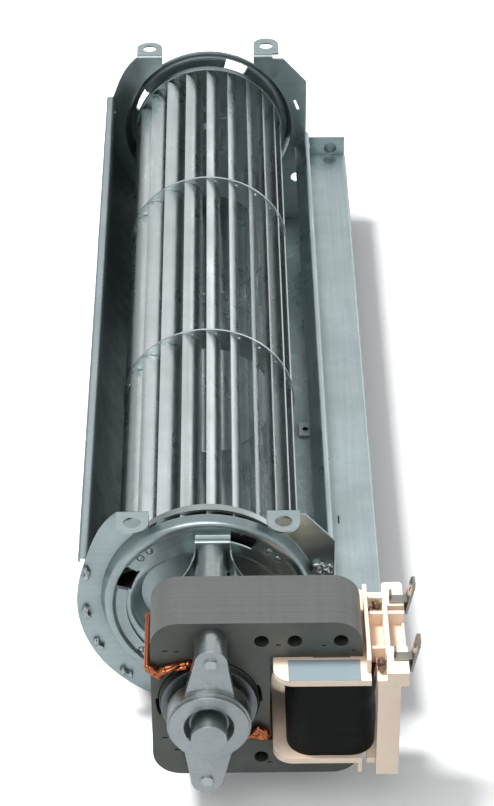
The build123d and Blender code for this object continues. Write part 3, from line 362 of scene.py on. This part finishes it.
def metal(name, colour, rough, worn, shade_and_dirt=(0.05, 0.055, 0.05, 1), amount=0.5, radius=0.0002,
          lines=(1.0, 0.03, 1.0), bump=0.04, metallic=1.0, reach=0.004, inner=0.0):
    """Coated or bare metal with rolling lines, rubbed edges and painted corner shade with dirt.

    With a radius in metres for inner, the metal nearer the fan axis is painted dark, as shade.
    """
    material = bpy.data.materials.new(name)
    material.use_nodes = True
    tree = material.node_tree
    shader = tree.nodes["Principled BSDF"]
    coat = use(tree, zinc, Along_X=lines[0], Along_Y=lines[1], Along_Z=lines[2])
    tone = add(tree, "ShaderNodeCombineColor",
               [(0, coat.outputs["Shade"]), (1, coat.outputs["Shade"]), (2, coat.outputs["Shade"])])
    base = mixed(tree, 1.0, (*colour, 1), tone.outputs[0], "MULTIPLY")
    lift = add(tree, "ShaderNodeBump", [("Height", coat.outputs["Height"]),
                                        ("Strength", bump), ("Distance", 0.0004)])
    tree.links.new(lift.outputs["Normal"], shader.inputs["Normal"])
    if radius:
        rim = use(tree, edges, Radius=radius)
        tree.links.new(rim.outputs["Normal"], lift.inputs["Normal"])
        base = mixed(tree, maths(tree, "MULTIPLY", rim.outputs["Edge"], 0.6), base, (*worn, 1))
    surface = maths(tree, "ADD", coat.outputs["Rough"], rough)
    if amount:
        # Painted shade, partly dirt: the corners are mixed towards a dark colour.
        shade_and_grime_node = use(tree, shade_and_grime, Distance=reach, Amount=amount)
        base = mixed(tree, shade_and_grime_node.outputs["Mask"], base, shade_and_dirt)
        surface = maths(tree, "ADD", surface, maths(tree, "MULTIPLY", shade_and_grime_node.outputs["Mask"], 0.25))
    # Painted shade: nearer the axis than inner, the metal turns dark.
    if inner:
        point = add(tree, "ShaderNodeTexCoord").outputs["Object"]
        axis = add(tree, "ShaderNodeVectorMath", [(0, point), (1, mm(0, 0, 0))],
                   operation="SUBTRACT").outputs[0]
        flat_point = scaled(tree, axis, (1.0, 0.0, 1.0))
        reach_out = add(tree, "ShaderNodeVectorMath", [(0, flat_point)], operation="LENGTH")
        axis_shade = ramp(tree, reach_out.outputs["Value"], inner, inner - 0.0004)
        base = mixed(tree, axis_shade, base, (0.07, 0.055, 0.052, 1))
    tree.links.new(base, shader.inputs["Base Color"])
    tree.links.new(surface, shader.inputs["Roughness"])
    shader.inputs["Metallic"].default_value = metallic
    return material


# %% [markdown]
# The sheet parts are one kind of zinc coated steel. The scroll gets painted
# shade inside, where hardly any light gets in, and the plates and dishes are
# rolled across the fan, so their lines run the other way.

# %% galvanised metals
RUBBED_ZINC = (0.72, 0.78, 0.79)
ACROSS, NO_LINES = (0.03, 1.0, 1.0), (1.0, 1.0, 1.0)
galvanised = metal("galvanised sheet", (0.48, 0.565, 0.575), 0.30, RUBBED_ZINC, bump=0.02)
# The scroll's dark inside is painted shade: a strong corner mask that reaches far.
shaded_scroll = metal("galvanised scroll with painted shade", (0.46, 0.54, 0.55), 0.28, RUBBED_ZINC,
                    bump=0.02, amount=0.78, reach=0.03, shade_and_dirt=(0.028, 0.038, 0.038, 1))
plate_metal = metal("galvanised pressing", (0.45, 0.53, 0.535), 0.34, RUBBED_ZINC,
                    lines=ACROSS, bump=0.03)
dish_metal = metal("galvanised dish", (0.55, 0.645, 0.645), 0.30, RUBBED_ZINC,
                   lines=ACROSS, bump=0.03, amount=0.35)
blade_metal = metal("blade strip", (0.665, 0.72, 0.725), 0.30, (0.85, 0.89, 0.89),
                    radius=0.0001, bump=0.02, amount=0.0)
# The motor side disc is painted dark near the axis, as shade.
shaded_disc = metal("disc with painted inner shade", (0.46, 0.51, 0.51), 0.36, RUBBED_ZINC,
                  lines=ACROSS, inner=0.0292)
print("galvanised metals ready, rubbed edges", RUBBED_ZINC)

# %% [markdown]
# The motor has castings, ground steel, copper, tin and oily bronze. Castings
# and solder have no rolling lines, so their pattern isn't stretched.

# %% metals of the motor
zinc_cast = metal("die cast zinc", (0.42, 0.45, 0.455), 0.31, (0.70, 0.73, 0.73),
                  lines=NO_LINES, radius=0.0005, bump=0.12, amount=0.3)
rotor_steel = metal("rotor steel", (0.24, 0.29, 0.22), 0.36, (0.55, 0.62, 0.52),
                    radius=0.0004, bump=0.2, amount=0.6)
steel = metal("bright steel", (0.52, 0.57, 0.575), 0.30, (0.74, 0.78, 0.78),
              lines=(1.0, 0.1, 1.0))
tinned = metal("tinned brass", (0.36, 0.35, 0.32), 0.26, (0.60, 0.59, 0.54),
               lines=(0.1, 1.0, 1.0), bump=0.02)
copper = metal("bare copper", (0.64, 0.20, 0.09), 0.24, (0.95, 0.45, 0.25), radius=0.0001,
               amount=0.5, bump=0.03, shade_and_dirt=(0.10, 0.02, 0.01, 1))
wire_coat = metal("enamelled wire", (0.30, 0.12, 0.07), 0.36, (0.5, 0.25, 0.16),
                  lines=NO_LINES, radius=0.0001, metallic=0.5)
solder = metal("solder", (0.36, 0.27, 0.20), 0.28, (0.6, 0.5, 0.4), lines=NO_LINES,
               bump=0.1, shade_and_dirt=(0.12, 0.07, 0.04, 1))
bronze = metal("sintered bronze", (0.45, 0.32, 0.18), 0.45, (0.6, 0.45, 0.3),
               lines=NO_LINES, bump=0.2)
cage_metal = metal("cast aluminium", (0.20, 0.215, 0.225), 0.34, (0.5, 0.52, 0.52),
                   lines=NO_LINES, bump=0.08)
print("metals of the motor ready")

# %% [markdown]
# The motor core is a pile of punched sheets. Their edges show as fine lines
# across the outside, and the faces carry a grey oxide with a little brown.
# Dozens of thin solids would be heavy, so the sheets are counted in the material:
# the place along the fan, divided by the thickness of a sheet, gives each one
# its number, and a white noise of that number gives it its own tone.

# %% laminations


def laminated(name, pitch=0.0005):
    """Punched steel sheets of the given thickness, piled along the fan."""
    material = bpy.data.materials.new(name)
    material.use_nodes = True
    tree = material.node_tree
    shader = tree.nodes["Principled BSDF"]
    point = add(tree, "ShaderNodeTexCoord").outputs["Object"]
    along = add(tree, "ShaderNodeSeparateXYZ", [(0, point)]).outputs[1]
    wobble = maths(tree, "MULTIPLY", noise_of(tree, point, 90.0, 2.0), 0.00025)
    sheet = maths(tree, "DIVIDE", maths(tree, "ADD", along, wobble), pitch)
    step = maths(tree, "FRACT", sheet)
    groove = ramp(tree, maths(tree, "ABSOLUTE", maths(tree, "SUBTRACT", step, 0.5)), 0.30, 0.5)
    index = maths(tree, "FLOOR", sheet)
    pile = add(tree, "ShaderNodeTexWhiteNoise", [("W", index)], noise_dimensions="1D")
    face = add(tree, "ShaderNodeNewGeometry").outputs["Normal"]
    facing = maths(tree, "ABSOLUTE", add(tree, "ShaderNodeSeparateXYZ", [(0, face)]).outputs[1])
    side = ramp(tree, facing, 0.7, 0.3)
    rim = use(tree, edges, Radius=0.00025)
    # Painted shade, partly dirt, for the corners of the core.
    shade_and_grime_node = use(tree, shade_and_grime, Distance=0.005, Amount=0.6)
    cloud = noise_of(tree, point, 60.0, 5.0, 0.65)
    streak = noise_of(tree, scaled(tree, point, (1.0, 0.04, 1.0)), 500.0, 3.0, 0.6)
    face_tone = mixed(tree, ramp(tree, cloud, 0.3, 0.7), (0.105, 0.112, 0.10, 1),
                      (0.155, 0.165, 0.15, 1))
    edge_tone = mixed(tree, pile.outputs["Value"], (0.17, 0.178, 0.172, 1),
                      (0.20, 0.208, 0.20, 1))
    edge_tone = mixed(tree, ramp(tree, streak, 0.35, 0.7, 0.0, 0.5), edge_tone,
                      (0.21, 0.22, 0.21, 1))
    edge_tone = mixed(tree, maths(tree, "MULTIPLY", groove, 0.25), edge_tone,
                      (0.10, 0.10, 0.09, 1))
    base = mixed(tree, side, face_tone, edge_tone)
    base = mixed(tree, maths(tree, "MULTIPLY", rim.outputs["Edge"], 0.5), base,
                 (0.36, 0.36, 0.34, 1))
    # Corners are mixed towards a dark brown: painted shade with some dirt.
    base = mixed(tree, shade_and_grime_node.outputs["Mask"], base, (0.05, 0.045, 0.035, 1))
    tree.links.new(base, shader.inputs["Base Color"])
    shader.inputs["Metallic"].default_value = 0.75
    rough = ramp(tree, cloud, 0.3, 0.7, 0.42, 0.56)
    tree.links.new(rough, shader.inputs["Roughness"])
    height = maths(tree, "MULTIPLY", maths(tree, "SUBTRACT", pile.outputs["Value"], groove), side)
    lift = add(tree, "ShaderNodeBump", [("Height", height), ("Strength", 0.35),
                                        ("Distance", 0.0001), ("Normal", rim.outputs["Normal"])])
    tree.links.new(lift.outputs["Normal"], shader.inputs["Normal"])
    return material


core_steel = laminated("punched core")
print("core steel nodes:", len(core_steel.node_tree.nodes))

# %% [markdown]
# The bobbin is cream nylon with a soft sheen. Thin edges look warmer because
# light passes through them, which subsurface scattering gives. Rubber, tape
# and the bare label are made by the same function with other values.

# %% how a moulding is made


def moulded(name, colour, shadow, rough, radius=0.0003, grain=0.05, scatter=0.0, scale=1400.0,
            amount=0.5, shine=0.5):
    """Plastic, rubber or film with slow flow marks, painted corner shade and a fine grain."""
    material = bpy.data.materials.new(name)
    material.use_nodes = True
    tree = material.node_tree
    shader = tree.nodes["Principled BSDF"]
    point = add(tree, "ShaderNodeTexCoord").outputs["Object"]
    flow = noise_of(tree, point, 70.0, 4.0, 0.6)
    skin = noise_of(tree, point, scale, 3.0, 0.6)
    rim = use(tree, edges, Radius=radius)
    shade_and_grime_node = use(tree, shade_and_grime, Distance=0.004, Amount=amount)
    base = mixed(tree, ramp(tree, flow, 0.3, 0.7, 0.0, 0.35), (*colour, 1), (*shadow, 1))
    # Painted shade, partly dirt: corners are mixed towards the shadow colour.
    base = mixed(tree, shade_and_grime_node.outputs["Mask"], base, (*shadow, 1))
    tree.links.new(base, shader.inputs["Base Color"])
    tree.links.new(ramp(tree, flow, 0.3, 0.7, rough - 0.05, rough + 0.06),
                   shader.inputs["Roughness"])
    shader.inputs["Specular IOR Level"].default_value = shine
    shader.inputs["Subsurface Weight"].default_value = scatter
    shader.inputs["Subsurface Radius"].default_value = (0.0016, 0.0009, 0.0005)
    lift = add(tree, "ShaderNodeBump", [("Height", skin), ("Strength", grain),
                                        ("Distance", 0.0003), ("Normal", rim.outputs["Normal"])])
    tree.links.new(lift.outputs["Normal"], shader.inputs["Normal"])
    return material


# %% [markdown]
# The coil is bound in cloth tape, which is blacker and duller than rubber. The
# label is a blank film, a little blue beside the warm nylon.

# %% plastics and rubber
cream = moulded("cream nylon", (0.80, 0.67, 0.545), (0.70, 0.50, 0.36), 0.42, scatter=0.25)
rubber = moulded("rubber", (0.03, 0.03, 0.03), (0.015, 0.015, 0.015), 0.7, grain=0.2)
label = moulded("bare label", (0.20, 0.25, 0.275), (0.18, 0.225, 0.25), 0.35, radius=0.00005,
                grain=0.03, scale=900.0, amount=0.2)
tape = moulded("black tape", (0.005, 0.006, 0.006), (0.007, 0.008, 0.008), 0.55, grain=0.4,
               scale=2200.0, amount=0.0, shine=0.14)
# Painted shade for the stamped pits of the core.
pit = moulded("painted pit shade", (0.01, 0.01, 0.01), (0.02, 0.02, 0.02), 0.8, amount=0.0)
print("plastics and rubber ready")

# %% [markdown]
# Each solid gets its material by name. A list for each material is easier to
# check against the real fan than a search for words in the names.

# %% dress the solids
finish = {
    galvanised: ["tongue_plate", "outlet_strut"],
    shaded_scroll: ["scroll_housing"],
    plate_metal: ["motor_end_plate", "bearing_end_plate", "bearing_dish",
                  "impeller_disc_bearing", "far_retainer_ring"],
    dish_metal: ["motor_mount_dish"],
    shaded_disc: ["impeller_disc_motor"],
    blade_metal: ["impeller_blades", "impeller_ring_motor_side", "impeller_ring_bearing_side"],
    zinc_cast: ["front_bracket", "rear_bracket", "impeller_hub"],
    steel: ["strut_rivets", "hub_set_screw", "impeller_stub", "hub_rivets",
            "far_retainer_rivets", "bracket_rivets", "motor_mount_screws", "motor_shaft"],
    core_steel: ["stator_core", "coil_limb"],
    rotor_steel: ["rotor_core"],
    cage_metal: ["rotor_cage"],
    copper: ["shading_rings"],
    wire_coat: ["coil_leads"],
    bronze: ["far_bearing_bush", "front_bearing_bush", "rear_bearing_bush"],
    rubber: ["far_rubber_mount"],
    cream: ["bobbin", "shaft_spacers"],
    tape: ["coil_winding"],
    label: ["blank_label"],
    tinned: ["spade_terminals"],
}
for material, names in finish.items():
    for name in names:
        nodes[name].data.materials.clear()
        nodes[name].data.materials.append(material)
bare = set(nodes) - {n for names in finish.values() for n in names}
print("solids without a material:", sorted(bare))

# %% [markdown]
# The solids come as loose triangles. A weld joins them, smooth shading rounds
# what is meant to be round, and an edge split keeps the folds crisp. Both are
# modifiers, so the meshes from the drawing stay untouched.

# %% smooth the solids
WELD_GAP, FOLD_ANGLE = 0.000004, math.radians(32)
for name, solid in nodes.items():
    solid.data.polygons.foreach_set("use_smooth", [True] * len(solid.data.polygons))
    weld = solid.modifiers.new("weld", "WELD")
    weld.merge_threshold = WELD_GAP
    split = solid.modifiers.new("folds", "EDGE_SPLIT")
    split.split_angle = FOLD_ANGLE
print("smoothed solids:", len(nodes))

# %% [markdown]
# The pieces that follow are wound, soldered or hammered, so no two are quite
# alike. One helper puts a finished mesh into the scene, another makes a lump
# from a ball with an uneven skin, and a third draws a wire. A curve object
# could be the wire too, but an extruded circle stays in the same mesh.

# %% helpers for new pieces


def place(name, mesh, material, body="housing", smooth=True):
    """Turns an edited mesh into a piece that rides on a body of the fan."""
    bmesh.ops.recalc_face_normals(mesh, faces=mesh.faces)
    data = bpy.data.meshes.new(name)
    mesh.to_mesh(data)
    mesh.free()
    data.polygons.foreach_set("use_smooth", [smooth] * len(data.polygons))
    data.materials.append(material)
    item = bpy.data.objects.new(name, data)
    scene.collection.objects.link(item)
    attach(item, body)
    return item


def add_lump(mesh, centre, radii, seed, rough=0.35, turn=0.0):
    """Adds a ball with an uneven skin. Centre and radii are in millimetres.

    The turn in degrees is about the fan axis.
    """
    ball = bmesh.ops.create_icosphere(mesh, subdivisions=3, radius=1.0)["verts"]
    for vert in ball:
        swell = noise.noise(vert.co * 1.7 + Vector((seed * 7.3, seed * 3.1, seed * 5.7)))
        vert.co *= 1.0 + rough * swell
    size = Matrix.Diagonal((*radii, 1.0))
    pose = Matrix.Translation(mm(*centre)) @ Matrix.Rotation(math.radians(turn), 4, "Y")
    bmesh.ops.transform(mesh, matrix=pose @ Matrix.Scale(0.001, 4) @ size, verts=ball)


def add_wire(mesh, path, radius, sides=10):
    """Adds a round wire: one circle, extruded from point to point. Millimetres."""
    points = [mm(*point) for point in path]
    heading = (points[1] - points[0]).normalized()
    start = Matrix.Translation(points[0]) @ heading.to_track_quat("Z", "Y").to_matrix().to_4x4()
    before = set(mesh.faces)
    bmesh.ops.create_circle(mesh, cap_ends=True, segments=sides, radius=radius * 0.001,
                            matrix=start)
    tip = [face for face in mesh.faces if face not in before]
    for index in range(1, len(points)):
        ahead = points[min(index + 1, len(points) - 1)] - points[index - 1]
        bend = heading.rotation_difference(ahead.normalized()).to_matrix().to_4x4()
        heading = ahead.normalized()
        move = Matrix.Translation(points[index]) @ bend @ Matrix.Translation(-points[index - 1])
        grown = bmesh.ops.extrude_face_region(mesh, geom=tip)["geom"]
        bmesh.ops.transform(mesh, matrix=move,
                            verts=[g for g in grown if isinstance(g, bmesh.types.BMVert)])
        tip = [g for g in grown if isinstance(g, bmesh.types.BMFace)]


print("helpers ready")

# %% [markdown]
# The coil is wound with cloth tape. A cloth simulation would be slow for so
# firm a piece, so it is a rounded block with a hole, cut into level bands. Then
# it can bulge in front, draw in at one side and wrinkle.

# %% block of the coil
COIL_CORNER, COIL_WALL, BANDS, COLUMNS = 0.0078, 0.0052, 24, 16
coil_lo, coil_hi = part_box("coil_winding")
coil_lo, coil_hi = Vector(coil_lo), Vector(coil_hi)
coil_size, coil_mid = coil_hi - coil_lo, (coil_lo + coil_hi) / 2
coil_mesh = bmesh.new()
bmesh.ops.create_cube(coil_mesh, size=1.0, matrix=Matrix.Translation(coil_mid)
                      @ Matrix.Diagonal((*coil_size, 1.0)))
upright = [e for e in coil_mesh.edges if abs(e.verts[0].co.z - e.verts[1].co.z) > 0.01]
bmesh.ops.bevel(coil_mesh, geom=upright, offset=COIL_CORNER, segments=9, profile=0.5,
                affect="EDGES", material=-1)
ends = [f for f in coil_mesh.faces if abs(f.normal.z) > 0.9]
bmesh.ops.inset_individual(coil_mesh, faces=ends, thickness=COIL_WALL)
bridge = [e for f in ends for e in f.edges]
bmesh.ops.delete(coil_mesh, geom=ends, context="FACES_ONLY")
bmesh.ops.bridge_loops(coil_mesh, edges=bridge)
for band in range(1, BANDS):
    level = coil_lo + coil_size * band / BANDS
    bmesh.ops.bisect_plane(coil_mesh, geom=coil_mesh.verts[:] + coil_mesh.edges[:]
                           + coil_mesh.faces[:], plane_co=level, plane_no=(0, 0, 1))
for column in range(1, COLUMNS):
    level = coil_lo + coil_size * column / COLUMNS
    for normal in ((1, 0, 0), (0, 1, 0)):
        bmesh.ops.bisect_plane(coil_mesh, geom=coil_mesh.verts[:] + coil_mesh.edges[:]
                               + coil_mesh.faces[:], plane_co=level, plane_no=normal)
print("coil vertices:", len(coil_mesh.verts))

# %% [markdown]
# The tape is pulled tight round the corners and bulges between them. Each
# vertex near the front or the right side is moved by its height, and a noise
# adds the small wrinkles.

# %% taped coil
for vert in coil_mesh.verts:
    height = (vert.co.z - coil_lo.z) / coil_size.z
    middle = math.sin(math.pi * min(max(height, 0.0), 1.0))
    wrinkle = noise.noise(Vector((vert.co.x, vert.co.y, vert.co.z * 2.2)) * 170.0) * 0.00016
    from_front = 1.0 - min((vert.co.y - coil_lo.y) / 0.008, 1.0)
    from_right = 1.0 - min((coil_hi.x - vert.co.x) / 0.008, 1.0)
    vert.co.y -= from_front * (0.0005 * middle + wrinkle)
    waist = math.exp(-((height - 0.62) / 0.09) ** 2)
    vert.co.x -= from_right * (0.0007 * waist + 0.0003 * (1.0 - middle) + wrinkle)
coil_piece = place("taped_coil", coil_mesh, tape)
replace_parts(coil_piece, "coil_winding")
coil_round = coil_piece.modifiers.new("soft", "BEVEL")
coil_round.width = 0.0005
coil_round.segments = 2
coil_round.limit_method = "ANGLE"
coil_round.angle_limit = math.radians(50)
print("coil faces:", len(coil_piece.data.polygons))

# %% [markdown]
# The two ends of each shading ring are laid together, twisted once and fused,
# so each ring has a thick joint on the front of the motor. Two wires wind round
# one line, and four lumps stand for the copper that has melted at their end.

# %% joints of the shading rings
FRONT = -51.1
joint_mesh = bmesh.new()
for sign, shift in ((1, 0.0), (-1, 0.5)):
    for angle in (0.0, 180.0):
        path = []
        for step in range(15):
            along = step / 14
            spin = math.radians(angle + 300.0 * along)
            x = -6.4 - 8.8 * along + shift
            z = 15.0 - 2.6 * along ** 1.4
            path.append((sign * (x + 0.2 * math.sin(spin)), FRONT - 0.55 + 0.5 * math.cos(spin),
                         sign * (z + 0.55 * math.sin(spin))))
        add_wire(joint_mesh, path, 0.78)
    for seed, (x, z, rx, rz, turn) in enumerate((
            (-16.6, 13.1, 2.3, 1.5, 35), (-15.0, 11.6, 1.5, 1.3, 0), (-17.9, 13.9, 1.2, 1.0, 60),
            (-13.6, 13.0, 1.7, 1.1, -15))):
        add_lump(joint_mesh, (sign * (x + shift), FRONT - 0.5, sign * z), (rx, 1.1, rz),
                 seed + 4 * sign, 0.7, sign * turn)
place("shading_ring_joints", joint_mesh, copper)
print("ring joints made")

# %% [markdown]
# Each lead of the coil ends in a few turns round a terminal foot, and a drop of
# solder holds it. Drops are lumps with a nearly even skin, because solder pulls
# itself round before it sets.

# %% solder at the terminals
solder_mesh = bmesh.new()
for seed, (x, y, z, size) in enumerate((
        (51.3, -28.9, 19.3, 1.25), (49.6, -30.2, 18.4, 0.9), (51.6, -55.4, 19.2, 1.2),
        (51.5, -58.6, 18.9, 1.05))):
    add_lump(solder_mesh, (x, y, z), (size, size * 1.1, size * 0.8), seed + 20, 0.5)
place("solder_drops", solder_mesh, solder)
wire_mesh = bmesh.new()
for y, back in ((-28.3, -31.6), (-55.2, -58.4)):
    add_wire(wire_mesh, [(50.9, y, 19.2), (50.2, y - 1.2, 19.3), (49.7, y - 2.3, 18.4),
                         (49.5, back, 16.8), (49.4, back - 0.2, 15.0)], 0.22, 8)
place("wire_tails", wire_mesh, wire_coat)
print("solder drops and wire tails made")

# %% [markdown]
# The tabs of the scroll sheet are split and hammered over. Their heads are
# copied from the housing, so they sit exactly on it, then merged, divided and
# given an uneven skin.

# %% hammered tabs
heads = bmesh.new()
heads.from_mesh(nodes["scroll_housing"].data)
bmesh.ops.remove_doubles(heads, verts=heads.verts, dist=WELD_GAP)
near_face, far_face = mm(0, 0.02, 0).y, mm(0, PLATE_GAP - 0.02, 0).y
inside = [v for v in heads.verts if near_face < v.co.y < far_face]
bmesh.ops.delete(heads, geom=inside, context="VERTS")
bmesh.ops.subdivide_edges(heads, edges=heads.edges, cuts=4, use_grid_fill=True)
heads.normal_update()
for vert in heads.verts:
    bump = noise.noise(vert.co * 900.0) + 0.5 * noise.noise(vert.co * 2100.0)
    vert.co += vert.normal * (0.00012 + 0.00035 * bump)
place("hammered_tabs", heads, steel)
side_mesh = bmesh.new()
for seed, (x, z, rx, rz) in enumerate(((34.4, 11.5, 1.6, 2.0), (37.2, 10.4, 1.7, 2.1),
                                       (36.0, 12.3, 1.3, 1.0), (35.7, 9.4, 1.2, 1.1))):
    add_lump(side_mesh, (x, -0.9, z), (rx, 0.9, rz), seed + 40, 0.9, 20)
place("hammered_side_tab", side_mesh, steel)
print("hammered tabs made")

# %% [markdown]
# The dish is drawn, so its two screw pads flare at their sides instead of
# ending square. Each flare is a thin lip: an upright edge is spun a quarter
# turn, and then made wider towards the middle of the dish. The lips curl
# forward, in front of the pads, where the wall of a drawn pad runs back into
# the dish. From above they look alike, but from the side they don't.

# %% lips of the screw pads
PAD_FACE, LIP_RADIUS, LIP_LOW, LIP_HIGH = -9.2, 5.4, 13.5, 26.0
lip_mesh = bmesh.new()
for sign in (1, -1):
    for side, wall in ((-1, -4.1), (1, 7.0)):
        foot = mm(sign * wall, PAD_FACE, sign * LIP_LOW)
        start = bmesh.ops.create_vert(lip_mesh, co=foot)["vert"]
        line = bmesh.ops.extrude_vert_indiv(lip_mesh, verts=start)
        line["verts"][0].co = mm(sign * wall, PAD_FACE, sign * LIP_HIGH)
        cuts = bmesh.ops.subdivide_edges(lip_mesh, edges=line["edges"], cuts=11)
        parts = [g for g in cuts["geom"] if isinstance(g, bmesh.types.BMEdge)]
        parts = list(dict.fromkeys(parts + list(line["edges"])))
        ends = list(dict.fromkeys(v for e in parts for v in e.verts))
        others = set(lip_mesh.verts) - set(ends)
        hinge = mm(sign * (wall + side * LIP_RADIUS), PAD_FACE, 0)
        bmesh.ops.spin(lip_mesh, geom=ends + parts, cent=hinge, axis=(0, 0, 1),
                       angle=side * sign * math.radians(90), steps=10)
        for vert in set(lip_mesh.verts) - others:
            height = abs(vert.co.z - mm(0, 0, 0).z) * 1000
            along = (height - LIP_LOW) / (LIP_HIGH - LIP_LOW)
            swell = 0.15 + 1.5 * max(1.0 - along, 0.0) ** 1.5
            vert.co.x = foot.x + (vert.co.x - foot.x) * swell
lips = place("pad_shoulders", lip_mesh, dish_metal)
lip_skin = lips.modifiers.new("sheet", "SOLIDIFY")
lip_skin.thickness = 0.0005
lip_skin.offset = 0.0
print("lips of the screw pads, faces:", len(lips.data.polygons))

# %% [markdown]
# Clinch joints show as a small button in each dimple. The stack has stamped
# pits where its sheets interlock. Their shade is painted: small dark blocks let
# into the face, because cutting the stack's own mesh would change the drawing.

# %% buttons and pits
button_mesh = bmesh.new()
for centre in (44.0, 134.0, 224.0, 314.0):
    for side in (-4.0, 4.0):
        angle = math.radians(centre + side)
        x, z = 28.4 * math.cos(angle), 28.4 * math.sin(angle)
        for y in (-4.5, PLATE_GAP + 4.5):
            add_lump(button_mesh, (x, y, z), (1.0, 0.45, 1.0), 60 + side, 0.3)
place("clinch_buttons", button_mesh, plate_metal)
pit_shade_mesh = bmesh.new()
# Each pit's shade is painted: a dark block just inside the face.
for x, z in ((20.9, 21.4), (34.5, 21.0), (18.5, -25.6), (34.5, -25.6), (-13.6, -15.2),
             (-13.0, 19.4), (-9.5, 19.2), (-10.1, -20.1), (43.4, 18.9)):
    spot = Matrix.Translation(mm(x, -49.93, z)) @ Matrix.Diagonal((0.0009, 0.0003, 0.0007, 1.0))
    bmesh.ops.create_cube(pit_shade_mesh, size=1.0, matrix=spot)
place("stamped_pit_shade", pit_shade_mesh, pit, smooth=False)
print("buttons and pits made")

# %% [markdown]
# The strut is held by rivets with flush heads, so from above only a faint
# round mark is left. Short rods let into the sheet show just that mark.

# %% flush rivets
RIVET_RADIUS, STRUT_Y = 0.0012, 149.2
rivet_mesh = bmesh.new()
for x, z, depth in ((45.6, -13.18, 1.6), (35.4, -45.4, 1.6)):
    bmesh.ops.create_cone(rivet_mesh, cap_ends=True, segments=32, radius1=RIVET_RADIUS,
                          radius2=RIVET_RADIUS, depth=depth * 0.001,
                          matrix=Matrix.Translation(mm(x, STRUT_Y, z)))
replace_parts(place("flush_rivets", rivet_mesh, galvanised, smooth=False), "strut_rivets")
print("flush rivets made")
